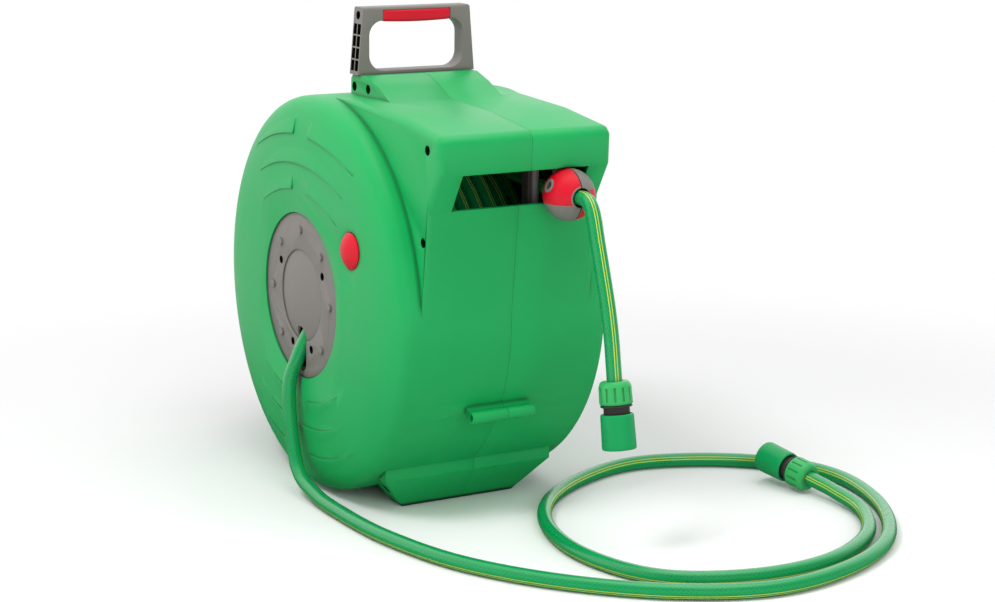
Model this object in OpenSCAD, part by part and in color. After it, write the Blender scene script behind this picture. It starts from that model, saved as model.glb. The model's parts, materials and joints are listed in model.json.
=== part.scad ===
// Wall mounted hose reel: a spring driven hose drum in a two part casing that swivels on a wall bracket.
// The origin is the middle of the bracket's four screw holes on the wall; +Z is up, -Y points into the room.

/* [Wall bracket] */
// Width of the bracket plate
plate_w = 114; // [104:1:124]
// Height of the bracket plate
plate_h = 300; // [290:1:320]
// Thickness of the plate at its outer edges
plate_edge = 6; // [4:0.5:9]
// Depth of the raised spine in front of the wall
spine_d = 26; // [22:0.5:28]
// Width of the raised spine
spine_w = 56; // [50:1:62]
// Wall thickness of the moulded bracket
bracket_wall = 4; // [3:0.5:5]
// Distance between the screw holes across the plate
screw_dx = 73; // [66:1:80]
// Distance between the screw holes up the plate
screw_dz = 258; // [250:1:264]
// Diameter of each wall screw hole
screw_hole_d = 7; // [5:0.5:8]
// Distance of the pivot axis from the wall
pivot_out = 50; // [48:0.5:56]
// Outer diameter of the two pivot sockets
socket_od = 41; // [36:0.5:42]
// Height of the upper pivot socket
upper_socket_h = 45; // [35:1:55]
// Height of the lower pivot socket
lower_socket_h = 52; // [40:1:56]
// Gap between the sockets that takes the reel's hinge barrel
hinge_gap = 130; // [110:1:140]
// Number of louvres on each side of the bracket
louvre_count = 11; // [5:1:12]

/* [Pivot tube] */
// Diameter of the pivot tube
pivot_d = 27; // [22:0.5:29]
// Wall thickness of the pivot tube
pivot_wall = 2.5; // [1.5:0.1:4]
// Diameter of the flange that rests on the upper socket
pivot_flange_d = 35; // [32:0.5:40]
// Height of the parking spigot above the flange
spigot_h = 30; // [26:0.5:36]
// Diameter of the parking spigot
spigot_d = 15; // [13:0.5:16]

/* [Casing] */
// Radius of the round casing
casing_r = 210; // [206:1:214]
// Half width of the casing at its flat hub faces
hub_face_x = 132; // [130:0.5:136]
// Half width of the casing at its rim
rim_x = 99; // [97:0.5:101]
// Radius of the hub covers
hub_r = 88; // [84:0.5:92]
// Wall thickness of the casing
wall = 3; // [2.4:0.1:3.4]
// Distance of the parting plane from the middle of the casing
seam_x = 5; // [2:0.5:8]
// Gap between the hinge barrel's axis and the round casing behind the drum
hinge_stand_off = 25; // [23:0.5:30]
// Height of the drum axis above the bracket's middle
axis_z = 30; // [20:1:36]

/* [Visor] */
// Half width of the hose outlet visor
visor_x = 97; // [94:0.5:98]
// Reach of the visor's front edge beyond the round casing
visor_reach = 36; // [32:1:40]
// Depth of the visor's front edge below the top of the round casing
visor_dip = 12; // [10:1:16]
// Height of the visor's roof above the round casing
roof_rise = 1; // [-1:0.5:4]
// Half width of the hose slot
slot_x = 71; // [70:0.5:76]
// Depth of the slot's upper lip below the top of the round casing
slot_dip = 50; // [46:1:54]
// Reach of the slot's lower lip beyond the round casing
lip_reach = 11; // [9:0.5:14]
// Height of the slot between its lips
slot_h = 41; // [38:1:44]

/* [Handle] */
// Half width of the handle at its top
handle_top_x = 63; // [58:0.5:68]
// Half width of the handle at its foot
handle_foot_x = 69; // [66:0.5:74]
// Height of the handle above its lug
handle_h = 70; // [64:1:84]
// Depth of the handle from front to back
handle_d = 20; // [16:0.5:22]
// Height of the handle's top bar
handle_bar = 14; // [13:0.5:18]
// Width of the handle's side legs
handle_leg = 7.5; // [7:0.5:12]
// Height of the lug's top above the round casing
lug_rise = 21; // [19:0.5:24]

/* [Drum] */
// Room between the barrel that the hose winds on and the round casing
barrel_room = 82; // [80:1:90]
// Half width of the drum between its flanges
barrel_x = 92; // [90:0.5:93]
// Room between the drum flanges and the round casing
flange_room = 28; // [20:1:34]
// Thickness of the drum flanges
flange_t = 3; // [2:0.1:3.5]
// Radius of the fixed axle
axle_r = 15; // [13:0.5:16]
// Radius of the axle's water bore
axle_bore_r = 6; // [4:0.5:8]
// Number of ratchet teeth
ratchet_teeth = 24; // [16:1:30]
// Tip radius of the ratchet ring
ratchet_r = 100; // [96:0.5:100]

/* [Hose] */
// Outer diameter of the hose
hose_d = 15.5; // [14:0.1:15.5]
// Pitch of the hose turns across the drum
hose_pitch = 16; // [16:0.1:17]
// Height of the outer layer's centre line above the barrel
layer_rise = 23.7; // [22:0.1:24]
// Room between the outer layer's first turn and the left flange
layer_room = 1.05; // [1:0.05:2]
// Diameter of the ball stop
ball_d = 52.4; // [50:0.1:52.4]
// Distance of the ball stop from the middle of the casing at rest
ball_x = 48; // [40:1:50]

/* [Couplings] */
// Diameter of a hose coupling's sleeve
sleeve_d = 34; // [30:0.5:34]
// Length of a hose coupling's sleeve
sleeve_len = 35; // [30:0.5:40]
// Length of a hose coupling's ribbed nut
nut_len = 23; // [18:0.5:26]
// Diameter of a hose coupling's ribbed nut
nut_d = 33; // [30:0.5:34]
// Width of the collar that shows between nut and sleeve
collar_len = 9; // [7.5:0.5:12]

/* [Lock button] */
// Diameter of the lock button
button_d = 38; // [34:0.5:40]
// Height of the lock button above the casing
button_rise = 8; // [6:0.5:10]
// Travel of the lock button
button_travel = 5.5; // [4:0.1:5.5]

/* [Hidden] */

$fn = 64;

// Clearances and cutting overrun
fit = 0.3;
run = 0.08;
over = 1;

// Rings in a loop of hose, and sides of the hoses and wires
loop_rings = 24;
hose_sides = 8;
wire_sides = 6;

// Colours of the moulded parts
green = [0.02, 0.62, 0.31];
pale_green = [0.20, 0.70, 0.38];
grey = [0.47, 0.45, 0.43];
dark = [0.18, 0.18, 0.18];
red = [0.84, 0.09, 0.18];
steel = [0.72, 0.73, 0.75];

// Drum axis and pivot places
axis_y = -(pivot_out + hinge_stand_off + casing_r);
hose_r = hose_d / 2;

// Places on the casing and radii inside it, all from the round casing's radius
visor_front = casing_r + visor_reach;
visor_front_z = casing_r - visor_dip;
visor_roof_z = casing_r + roof_rise;
slot_top_z = casing_r - slot_dip;
slot_low = casing_r + lip_reach;
slot_low_z = slot_top_z - slot_h;
lug_z = casing_r + lug_rise;
barrel_r = casing_r - barrel_room;
flange_r = casing_r - flange_room;
layer_r = barrel_r + layer_rise;

// Bracket details
top_slope_h = 66;
low_slope_h = 14;
boss_r = 8;
boss_h = 7;
hinge_low_share = 0.303;
gap_low_z = -plate_h * hinge_low_share;
gap_top_z = gap_low_z + hinge_gap;
louvre_x = 43;
louvre_w = 20;
louvre_h = 7;
louvre_pitch = 13;
louvre_mid_z = -26;

// Dome profile
dome_power = 3.58;
dome_steps = 16;
cover_t = 3;
cover_recess = 2;
ledge = 8;
seat_x = hub_face_x - cover_recess - cover_t;

// Rows of crescents as shares of the casing's radius: top and radius of the inner edge, top and radius
// of the outer edge, radius where the row has faded out, and half the break in its middle
crescent_shares = [[0.814, 1.3, 0.895, 0.98, 0.914, 0.08], [0.67, 1.174, 0.756, 0.871, 0.771, 0],
    [0.536, 0.88, 0.61, 0.708, 0.624, 0.075]];
crescent_depth_share = 0.01;
crescent_sink = 0.45;
crescent_steps = 4;
crescent_slope = 0.12;

// Visor and lug outline
roof_back = 70;
roof_back_share = 0.07;
roof_share = 0.66;
roof_drop_share = 0.28;
roof_mid_z = visor_roof_z - (visor_roof_z - visor_front_z) * roof_drop_share;
nose_r = 6;
slot_deep = 12;
chin = casing_r - wall;
chin_z = -20;
lug_x = 66;
lug_back = 10;
lug_front = 26;
lug_mid = 52;
lug_drop = 8;
lug_mid_z = lug_z - lug_drop;
lug_toe = 86;
lug_corner = 5;
tenon_x = 48;
tenon_d = 14;
tenon_h = 9;

// Foot and hose-clip boss under the visor
foot_x = 66;
foot_flare_x = 98;
foot_drop = 2;
foot_shares = [0.638, 0.514, 0.4, 0.752, 0.829];
foot_front = casing_r * foot_shares[0];
foot_toe = casing_r * foot_shares[1];
foot_back = casing_r * foot_shares[2];
foot_top_z = -casing_r * foot_shares[3];
foot_knee_z = -casing_r * foot_shares[4];
foot_z = -casing_r - foot_drop;
eye_x = 36;
eye_r = 6.5;
eye_bore_r = 3.5;
eye_shares = [0.957, 0.462];
eye_y = -casing_r * eye_shares[0];
eye_z = -casing_r * eye_shares[1];
eye_web_share = 0.6;

// Casing screws, each at [y, z] from the drum axis, and their bosses
nose_screw = [26, 16];
lip_screw = [9.5, 29];
lug_screw = [8, 13];
foot_screw_z = 22;
screw_places = [[-visor_front + nose_screw[0], visor_front_z - nose_screw[1]],
    [-slot_low + lip_screw[0], slot_low_z - lip_screw[1]],
    [-lug_front - lug_screw[0] / 2, lug_z - lug_screw[1]],
    [lug_back - lug_screw[0], lug_z - lug_screw[1]], [-foot_toe, foot_z + foot_screw_z]];
boss_out_r = 6.2;
screw_r = 2;
screw_head_r = 4.3;
screw_head_t = 3;
screw_len = 34;
screw_sink_r = 4.8;
lug_sink = 12;
visor_sink = 24;
screw_stop = 4;

// Hub cover details
cover_bump_r = 70;
bump_r = 4;
bump_rise = 2.4;
bump_count = 8;
cover_screw_r = 59;
cover_screw_hole_r = 4.2;
cover_screw_angles = [30, 150, 247, 293];
dish_r = 49;
dish_d = 1.6;
carrier_r = 24;
carrier_end = 97;
hose_gate_r = 10;
gate_top_z = -43;
gate_low_z = -72;
window_y = 11;

// Axle and inlet spigot
axle_left = 112;
axle_right = 118;
inlet_at = [-112, 0, -22];
inlet_dir = [-0.45, 0, -0.893];
inlet_len = 26;

// Drum details
barrel_t = 3;
bush_r = 20;
bush_len = 18;
ratchet_root_r = 93;
ratchet_in_r = 84;
ratchet_w = 6;
ratchet_phase = 14.3;
tooth_share = 0.2;
housing_room = 9;
housing_r = barrel_r - housing_room;
housing_t = 2;
housing_x = 14;
arbor_r = 21;
arbor_room = 1.2;
spring_t = 1.4;
spring_in_r = arbor_r + fit;
spring_out_r = housing_r - housing_t - spring_t - fit;
spring_turns = 8;
spring_w = 54;
spring_x = 18;
union_r = 27;
union_x = -60;
union_w = 28;
seal_r = 1.4;
seal_gap = 16;
feed_r = 8;
core_gap = 1.4;

// Lock button and pawl, placed about the drum axis
button_y = -121;
button_z = 69;
button_skirt = 10;
button_wall = 2.5;
stem_r = 5;
cam_r = 10.5;
cam_lip = 0.25;
stem_room = 1.2;
guide_wall = 2.2;
guide_bite = 0.8;
guide_len = 17;
pawl_x = -101;
pawl_w = 6;
pawl_y = -92.7;
pawl_z = 99.5;
pawl_hub_r = 7;
pawl_pin_r = 3;
pawl_angle = 223;
tail_len = 50;
tail_in = 2.6;
tail_w = 5;
tip_u = -35;
tip_v = -39;
tip_w = 5;
arm_share = 0.6;
pin_boss_r = 6;
pin_stand = 2;

// Hose guide
rod_r = 4;
rod_room = 10;
rod_dip = 18;
rod_sink = 17;
rod_y = rod_room - casing_r;
rod_top_z = visor_front_z - rod_dip;
rod_low_z = slot_low_z - rod_sink;
carriage_r = 8.5;
carriage_x = 24;
cheek_t = 3;
cheek_d = 12;
roller_r = 5;
roller_off = 13.5;
roller_pin_r = 2;
ball_seam = 0.3;
ball_screw_r = 4.4;
ball_screw_sink = 12;
ball_screw_y = 0;
ball_screw_z = 10.9;

// Couplings
stem_len = 12;
stem_bore_r = 5.5;
stem_out_r = 8;
collar_r = 13;
rib_count = 24;
rib_r = 1.2;

// Routes of the free hoses: from the ball stop's front, from the drum axis, and on the floor below the axis
outlet_gap = 0.4;
outlet_steps = [[0, 0, 0], [0, -4, 0], [0, -10, -2], [0, -16, -8], [0, -21, -18], [0, -27, -36],
    [0, -37, -64], [0, -48, -96], [0, -56, -126], [0, -61, -154]];
supply_drop = [[-112, 0, -22], [-121, 0, -40], [-134.5, 0, -66], [-144, 3, -105]];
supply_loop = [[-144, -15, 32], [-144, -60, 12], [-143, -125, 8], [-136, -215, 8], [-108, -315, 8],
    [-50, -405, 8], [30, -477, 8], [120, -513, 8], [215, -500, 8], [300, -452, 8], [362, -370, 8],
    [392, -275, 8], [376, -205, 8], [315, -145, 8], [225, -112, 8], [140, -134, 8], [65, -188, 8],
    [20, -265, 8], [9, -355, 8], [40, -437, 8], [120, -477, 8], [210, -475, 8], [290, -432, 8],
    [336, -370, 9], [344, -315, 13], [342, -290, 16]];

// Vector helpers
function unit(v) = v / norm(v);
function tangent(p, i) = unit(p[min(i + 1, len(p) - 1)] - p[max(i - 1, 0)]);
function carry(n, t) = unit(n - (n * t) * t);
function carried(p, n, i = 0) = i == len(p) ? [] :
    let (m = carry(n, tangent(p, i))) concat([m], carried(p, m, i + 1));
function blend(a, b, c, d, t) = (2 * b + (c - a) * t + (2 * a - 5 * b + 4 * c - d) * t * t
    + (3 * b - a - 3 * c + d) * t * t * t) / 2;
function smooth(p, steps) = let (e = len(p) - 1) concat(
    [for (i = [0 : e - 1], s = [0 : steps - 1])
        blend(p[max(i - 1, 0)], p[i], p[i + 1], p[min(i + 2, e)], s / steps)], [p[e]]);
function length_of(p, i = 0) = i >= len(p) - 1 ? 0 : norm(p[i + 1] - p[i]) + length_of(p, i + 1);

// One closed tube of triangles swept along a list of points
module tube(p, r, sides, first) {
    n = carried(p, first);
    e = len(p) - 1;
    ring = [for (i = [0 : e], k = [0 : sides - 1])
        let (t = tangent(p, i), b = cross(t, n[i]), a = 360 * k / sides)
        p[i] + r * (cos(a) * n[i] + sin(a) * b)];
    walls = [for (i = [0 : e - 1], k = [0 : sides - 1], h = [0, 1])
        let (a = i * sides + k, b = a + sides, d = i * sides + (k + 1) % sides, c = d + sides)
            h == 0 ? [a, b, c] : [a, c, d]];
    caps = [for (k = [1 : sides - 2], h = [0, 1]) let (q = e * sides)
        h == 0 ? [0, k, k + 1] : [q, q + k + 1, q + k]];
    polyhedron(ring, concat(walls, caps));
}

// Places children on the drum axis
module on_axis() {
    translate([0, axis_y, axis_z]) children();
}

// Revolves a flat [radius, x] outline about the X axis
module about_x(angle = 360) {
    rotate([0, 90, 0]) rotate_extrude(angle = angle, $fn = 128) children();
}

// Extrudes a flat [y, z] outline along X between two places
module along_x(from, to) {
    translate([from, 0, 0]) rotate([90, 0, 90]) linear_extrude(to - from) children();
}

// Extrudes a flat [x, z] outline along Y between two places
module along_y(from, to) {
    translate([0, to, 0]) rotate([90, 0, 0]) linear_extrude(to - from) children();
}

// A cylinder along X between two places
module rod_x(from, to, r) {
    translate([from, 0, 0]) rotate([0, 90, 0]) cylinder(h = to - from, r = r);
}

// A ring along X between two places
module ring_x(from, to, outer, inner) {
    difference() {
        rod_x(from, to, outer);
        rod_x(from - over, to + over, inner);
    }
}

// A box between two corners
module box(from, to) {
    translate(from) cube(to - from);
}

// Points a part made along +Z in the direction d at the point p
module aim(p, d) {
    translate(p) rotate([0, acos(d[2] / norm(d)), atan2(d[1], d[0])]) children();
}

// Wall bracket: a moulded spine with sloping sides, open towards the wall
module bracket_shape(inset) {
    w = plate_w / 2 - inset;
    h = plate_h / 2 - inset;
    s = spine_w / 2 - inset / 2;
    d = spine_d - inset;
    e = plate_edge - inset;
    back = inset > 0 ? over : 0;
    intersection() {
        translate([0, 0, -plate_h]) linear_extrude(plate_h * 2)
            polygon([[-w, back], [-w, -e], [-s, -d], [s, -d], [w, -e], [w, back]]);
        along_x(-plate_w, plate_w)
            polygon([[back, -h], [-e, -h], [-d, -h + low_slope_h], [-d, h - top_slope_h], [-e, h],
                [back, h]]);
    }
}

module socket(low, high) {
    translate([0, -pivot_out, low]) cylinder(h = high - low, d = socket_od);
    box([-socket_od / 2, -pivot_out, low], [socket_od / 2, -spine_d + bracket_wall, high]);
}

module wall_screw_places() {
    for (x = [-1, 1], z = [-1, 1])
        translate([x * screw_dx / 2, 0, z * screw_dz / 2]) rotate([90, 0, 0]) children();
}

module wall_bracket() {
    color(grey) difference() {
        union() {
            difference() {
                bracket_shape(0);
                bracket_shape(bracket_wall);
                for (x = [-1, 1], i = [0 : louvre_count - 1])
                    translate([x * louvre_x, -spine_d / 2, louvre_mid_z])
                        translate([0, 0, (i - (louvre_count - 1) / 2) * louvre_pitch])
                            cube([louvre_w, spine_d * 2, louvre_h], center = true);
            }
            intersection() {
                wall_screw_places() cylinder(h = spine_d, r = boss_r + bracket_wall / 2);
                bracket_shape(0);
            }
            socket(gap_top_z, gap_top_z + upper_socket_h);
            socket(gap_low_z - lower_socket_h, gap_low_z);
        }
        wall_screw_places() translate([0, 0, boss_h]) cylinder(h = spine_d, r = boss_r);
        wall_screw_places() translate([0, 0, -over]) cylinder(h = spine_d, d = screw_hole_d);
        translate([0, -pivot_out, -plate_h]) cylinder(h = plate_h * 2, r = pivot_d / 2 + run);
    }
}

// Pivot tube with its flange and parking spigot
pivot_low_z = gap_low_z - lower_socket_h;
flange_z = gap_top_z + upper_socket_h;
flange_h = 4;
groove_h = 3;
groove_d = 1.2;
spigot_tip = 3;
spigot_bore_r = 3.8;
// Radius and height of the spigot's neck and catch ring, as shares of its radius and height
neck_shares = [[1.2, 0], [0.85, 0.16], [0.85, 0.48], [1.15, 0.52], [1.15, 0.62], [0.85, 0.66], [1, 0.7]];

module pivot_tube() {
    s = spigot_d / 2;
    base = flange_z + flange_h;
    top = base + spigot_h;
    neck = [for (p = neck_shares) [p[0] * s, base + p[1] * spigot_h]];
    color(green) translate([0, -pivot_out, 0]) rotate_extrude() polygon(concat(
        [[pivot_d / 2 - pivot_wall, pivot_low_z], [pivot_d / 2, pivot_low_z], [pivot_d / 2, flange_z],
            [pivot_flange_d / 2, flange_z], [pivot_flange_d / 2, base]],
        neck,
        [[s, top - spigot_tip - groove_h], [s - groove_d, top - spigot_tip - groove_h],
            [s - groove_d, top - spigot_tip], [s, top - spigot_tip], [s, top - groove_d], [s - groove_d, top],
            [spigot_bore_r, top], [spigot_bore_r, base], [pivot_d / 2 - pivot_wall, flange_z - flange_h]]));
}

module pivot_o_ring() {
    top = flange_z + flange_h + spigot_h;
    color(dark) translate([0, -pivot_out, top - spigot_tip - groove_h / 2]) rotate_extrude()
        translate([spigot_d / 2 + run, 0]) circle(r = groove_d, $fn = 24);
}

// Casing: dome of revolution with the visor, lug, foot, hose-clip eye and hinge barrel moulded on
function dome(r, hub, x, rim) = [for (i = [0 : dome_steps]) let (a = 90 * i / dome_steps)
    [hub + (r - hub) * pow(sin(a), 2 / dome_power), x - (x - rim) * (1 - pow(cos(a), 2 / dome_power))]];
function flip(p) = [for (i = [len(p) - 1 : -1 : 0]) [p[i][0], -p[i][1]]];

module dome_shape(inset) {
    half = dome(casing_r - inset, hub_r, hub_face_x - inset, rim_x - inset);
    about_x() polygon(concat([[0, hub_face_x - inset]], half, flip(half), [[0, -hub_face_x + inset]]));
}

// Half width of the dome at a radius from the drum axis
function dome_x(r) = rim_x + (hub_face_x - rim_x)
    * pow(1 - pow((r - hub_r) / (casing_r - hub_r), dome_power), 1 / dome_power);

// Raised crescents on the domes: each row rises towards its sharp inner edge and fades out into the dome
module crescent(row) {
    low = row[1] * casing_r;
    high = row[3] * casing_r;
    fade = row[4] * casing_r;
    start = (row[0] - crescent_depth_share) * casing_r;
    places = [for (i = [0 : crescent_steps]) start + (fade - start) * i / crescent_steps];
    intersection() {
        along_x(rim_x - wall, hub_face_x + wall * 2) difference() {
            translate([0, row[2] * casing_r - high]) circle(r = high);
            translate([0, row[0] * casing_r - low]) circle(r = low);
            if (row[5] > 0) translate([-row[5] * casing_r, 0]) square([2 * row[5] * casing_r, casing_r]);
        }
        about_x() polygon(concat(
            [for (r = places) [r, dome_x(r) + (fade - r) * crescent_slope - crescent_sink]],
            [for (i = [crescent_steps : -1 : 0]) [places[i], dome_x(places[i]) - wall / 2]]));
    }
}

module crescents() {
    for (row = crescent_shares, s = [-1, 1]) scale_x(s) {
        crescent(row);
        mirror([0, 0, 1]) crescent(row);
    }
}

module visor_shape(inset) {
    y = casing_r * roof_back_share;
    along_x(-visor_x + inset, visor_x - inset) polygon([
        [-y, sqrt(casing_r * casing_r - y * y) - inset], [-roof_back, visor_roof_z - inset],
        [-visor_front * roof_share, roof_mid_z - inset], [-visor_front + nose_r, visor_front_z - inset],
        [-visor_front + inset, visor_front_z - nose_r - inset / 2],
        [-visor_front + inset + over, slot_top_z], [-slot_low + inset, slot_low_z],
        [-chin + inset, chin_z], [0, chin_z], [0, casing_r / 2]]);
}

module lug_shape() {
    along_x(-lug_x, lug_x) polygon([[lug_back, visor_roof_z - lug_front], [lug_back, lug_z - lug_corner],
        [lug_back - lug_corner, lug_z], [-lug_front, lug_z], [-lug_mid, lug_mid_z],
        [-lug_toe, visor_roof_z - wall], [-lug_toe, visor_roof_z - lug_front]]);
}

module foot_shape() {
    intersection() {
        along_x(-foot_flare_x, foot_flare_x) polygon([[-foot_front, foot_top_z], [-foot_front, foot_knee_z],
            [-foot_toe, foot_z], [-foot_back, foot_z], [-foot_back, foot_top_z]]);
        along_y(-foot_front - over, -foot_back + over)
            polygon([[-foot_flare_x, foot_top_z], [-foot_flare_x, foot_knee_z], [-foot_x, foot_z],
                [foot_x, foot_z], [foot_flare_x, foot_knee_z], [foot_flare_x, foot_top_z]]);
    }
}

module eye_shape() {
    translate([0, eye_y, eye_z]) rod_x(-eye_x, eye_x, eye_r);
    web = eye_r * eye_web_share;
    rotate([atan2(eye_z, eye_y), 0, 0])
        box([-eye_x + fit, casing_r / 2, -web], [eye_x - fit, norm([eye_y, eye_z]), web]);
}

barrel_out_r = socket_od / 2;
barrel_low = gap_low_z - axis_z + fit;
barrel_high = gap_top_z - axis_z - fit;
web_x = 14;
web_reach_share = 0.35;

module hinge_shape() {
    translate([0, casing_r + hinge_stand_off, barrel_low])
        cylinder(h = barrel_high - barrel_low, r = barrel_out_r);
    box([-web_x, casing_r * web_reach_share, barrel_low], [web_x, casing_r + hinge_stand_off, barrel_high]);
}

// Direction along the slot's sloping face, from its upper lip to its lower lip
slot_run = [0, visor_front - over - slot_low, slot_low_z - slot_top_z];
lip = 1.5;

// The ball stop rests on the slot's two lips, in front of the middle of the slot
slot_half = norm(slot_run) / 2;
ball_stand = sqrt(pow(ball_d / 2 + fit, 2) - pow(slot_half - lip, 2));
ball_at = [0, over - visor_front, slot_top_z] + slot_run / 2 + cross(unit(slot_run), [1, 0, 0]) * ball_stand;
ball_y = ball_at[1];
ball_z = ball_at[2];
echo(ball_at = ball_at);

module slot_cut() {
    translate([0, -visor_front + over, slot_top_z]) rotate([atan2(slot_run[2], slot_run[1]), 0, 0])
        box([-slot_x, lip, -slot_deep], [slot_x, norm(slot_run) - lip, slot_deep]);
}

module screw_bosses() {
    intersection() {
        for (p = screw_places) translate([0, p[0], p[1]]) rod_x(-visor_x, visor_x, boss_out_r);
        union() {
            dome_shape(wall / 2);
            visor_shape(wall / 2);
            lug_shape();
            foot_shape();
        }
    }
}

function sink_x(p) = p[1] > visor_roof_z ? lug_x - lug_sink : p[1] < 0 ? foot_x : visor_x - visor_sink;

module screw_cuts() {
    for (p = screw_places) translate([0, p[0], p[1]]) {
        rod_x(-sink_x(p), visor_x - screw_stop, screw_r + fit);
        rod_x(-casing_r, -sink_x(p), screw_sink_r);
    }
}

module button_guide() {
    end = -hub_face_x + guide_len;
    outer = button_d / 2 + fit + guide_wall;
    translate([0, button_y, button_z]) {
        ring_x(-hub_face_x + wall * guide_bite, end, outer, button_d / 2 + fit);
        ring_x(end, end + guide_wall, outer, stem_r + stem_room);
    }
    translate([0, pawl_y, pawl_z])
        rod_x(-hub_face_x + wall / 2, pawl_x - pawl_w / 2 - pin_stand, pin_boss_r);
}

module casing() {
    difference() {
        union() {
            difference() {
                union() {
                    dome_shape(0);
                    visor_shape(0);
                    lug_shape();
                    foot_shape();
                    hinge_shape();
                    eye_shape();
                }
                dome_shape(wall);
                visor_shape(wall);
                slot_cut();
            }
            for (s = [-1, 1]) scale_x(s)
                ring_x(seat_x - wall, hub_face_x - wall / 2, hub_r + wall, hub_r - ledge);
            screw_bosses();
            button_guide();
            crescents();
        }
        for (s = [-1, 1]) scale_x(s) {
            rod_x(seat_x, hub_face_x + over, hub_r + fit);
            rod_x(seat_x - wall * 2, hub_face_x, hub_r - ledge);
        }
        screw_cuts();
        translate([0, eye_y, eye_z]) rod_x(-eye_x - over, eye_x + over, eye_bore_r);
        translate([0, casing_r + hinge_stand_off, -casing_r])
            cylinder(h = casing_r * 2, r = pivot_d / 2 + run);
        translate([0, button_y, button_z])
            rod_x(-hub_face_x - over, -hub_face_x + guide_len, button_d / 2 + fit);
        translate([0, pawl_y, pawl_z])
            rod_x(-hub_face_x + wall, pawl_x, pawl_pin_r + run);
        box([-tenon_x - fit, handle_y - tenon_d / 2 - fit, lug_z - tenon_h - fit],
            [tenon_x + fit, handle_y + tenon_d / 2 + fit, lug_z + over]);
    }
}

// Mirrors children to the side s of the middle plane
module scale_x(s) {
    mirror([s < 0 ? 1 : 0, 0, 0]) children();
}

module left_casing() {
    color(green) on_axis() difference() {
        casing();
        box([seam_x, -casing_r * 2, -casing_r * 2], [casing_r, casing_r * 2, casing_r * 2]);
    }
}

module right_casing() {
    color(green) on_axis() difference() {
        casing();
        box([-casing_r, -casing_r * 2, -casing_r * 2], [seam_x, casing_r * 2, casing_r * 2]);
    }
}

module casing_screws() {
    color(steel) on_axis() for (p = screw_places) translate([-sink_x(p), p[0], p[1]]) {
        rod_x(-screw_head_t, 0, screw_head_r);
        rod_x(0, screw_len + sink_x(p), screw_r);
    }
}

// Handle with open ribbed ends, and its soft grip
handle_y = -3;
handle_sill = 4;
opening_r = 16;
grip_x = 40;
grip_h = 11;
grip_swell = 0.8;
grip_corner = 3;
cell_d = 8;
cell_w = 7.5;
cell_h = 11;
cell_rib = 1.6;
cell_count = 4;
bore_r = 4.5;
bar_z = lug_z + handle_h - handle_bar;

module round_window(x, low, high, r) {
    for (a = [-1, 1], z = [low + r, high - r]) translate([a * (x - r), z]) circle(r = r);
    translate([-x, low + r]) square([x * 2, high - low - r * 2]);
    translate([-x + r, low]) square([x * 2 - r * 2, high - low]);
}

module handle_cells() {
    for (s = [-1, 1]) {
        for (i = [0 : cell_count - 1], y = [-1, 1])
            translate([s * (handle_foot_x - cell_d / 2 + over), handle_y + y * (cell_w + cell_rib) / 2,
                lug_z + handle_sill + cell_h / 2 + i * (cell_h + cell_rib)])
                cube([cell_d * 2, cell_w, cell_h], center = true);
        translate([s * handle_top_x, handle_y, lug_z + handle_h - handle_d / 2 + cell_rib])
            rotate([0, s * 90, 0]) translate([0, 0, -cell_d * 2]) cylinder(h = cell_d * 4, r = bore_r);
    }
}

module handle() {
    color(grey) on_axis() difference() {
        union() {
            along_y(handle_y - handle_d / 2, handle_y + handle_d / 2) difference() {
                polygon([[-handle_foot_x, lug_z], [handle_foot_x, lug_z], [handle_top_x, lug_z + handle_h],
                    [-handle_top_x, lug_z + handle_h]]);
                round_window(handle_top_x - handle_leg, lug_z + handle_sill, bar_z, opening_r);
            }
            box([-tenon_x, handle_y - tenon_d / 2, lug_z - tenon_h],
                [tenon_x, handle_y + tenon_d / 2, lug_z + over]);
        }
        box([-grip_x, handle_y - handle_d, bar_z - over], [grip_x, handle_y + handle_d, bar_z + grip_h]);
        handle_cells();
    }
}

module handle_grip() {
    color(red) on_axis() translate([0, handle_y, 0]) along_x(-grip_x, grip_x)
        round_window(handle_d / 2 + grip_swell, bar_z - grip_swell, bar_z + grip_h, grip_corner);
}

// Hub covers that carry the fixed axle
module cover(with_gate) {
    difference() {
        union() {
            rod_x(seat_x, seat_x + cover_t, hub_r);
            for (i = [0 : bump_count - 1]) rotate([i * 360 / bump_count, 0, 0])
                translate([0, cover_bump_r, 0]) rod_x(seat_x, seat_x + cover_t + bump_rise, bump_r);
            rod_x(carrier_end, seat_x + over, carrier_r);
        }
        rod_x(seat_x + cover_t - dish_d, seat_x + cover_t + over, dish_r);
        rod_x(carrier_end - over, with_gate ? seat_x : axle_right + fit, axle_r + run);
        for (a = cover_screw_angles) rotate([a, 0, 0]) translate([0, cover_screw_r, 0])
            rod_x(seat_x - over, hub_face_x, cover_screw_hole_r);
        if (with_gate) {
            box([carrier_end - over, -window_y, -carrier_r * 2], [seat_x, window_y, 0]);
            along_x(seat_x - over, hub_face_x + bump_rise) {
                for (z = [gate_top_z, gate_low_z]) translate([0, z]) circle(r = hose_gate_r);
                translate([-hose_gate_r, gate_low_z]) square([hose_gate_r * 2, gate_top_z - gate_low_z]);
            }
        }
    }
}

module hub_cover() {
    color(grey) on_axis() scale_x(-1) cover(true);
}

module spring_cover() {
    color(grey) on_axis() cover(false);
}

// Fixed hollow axle with its inlet spigot
port_r = 5;

module axle() {
    color(grey) on_axis() difference() {
        union() {
            rod_x(-axle_left, axle_right, axle_r);
            aim(inlet_at, -inlet_dir) cylinder(h = inlet_len, r = hose_r);
        }
        rod_x(-axle_left + axle_r / 2, union_x + port_r, axle_bore_r);
        aim(inlet_at + inlet_dir, -inlet_dir) cylinder(h = inlet_len - over, r = axle_bore_r - over);
        translate([union_x, 0, 0]) cylinder(h = axle_r * 2, r = port_r);
    }
}

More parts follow.
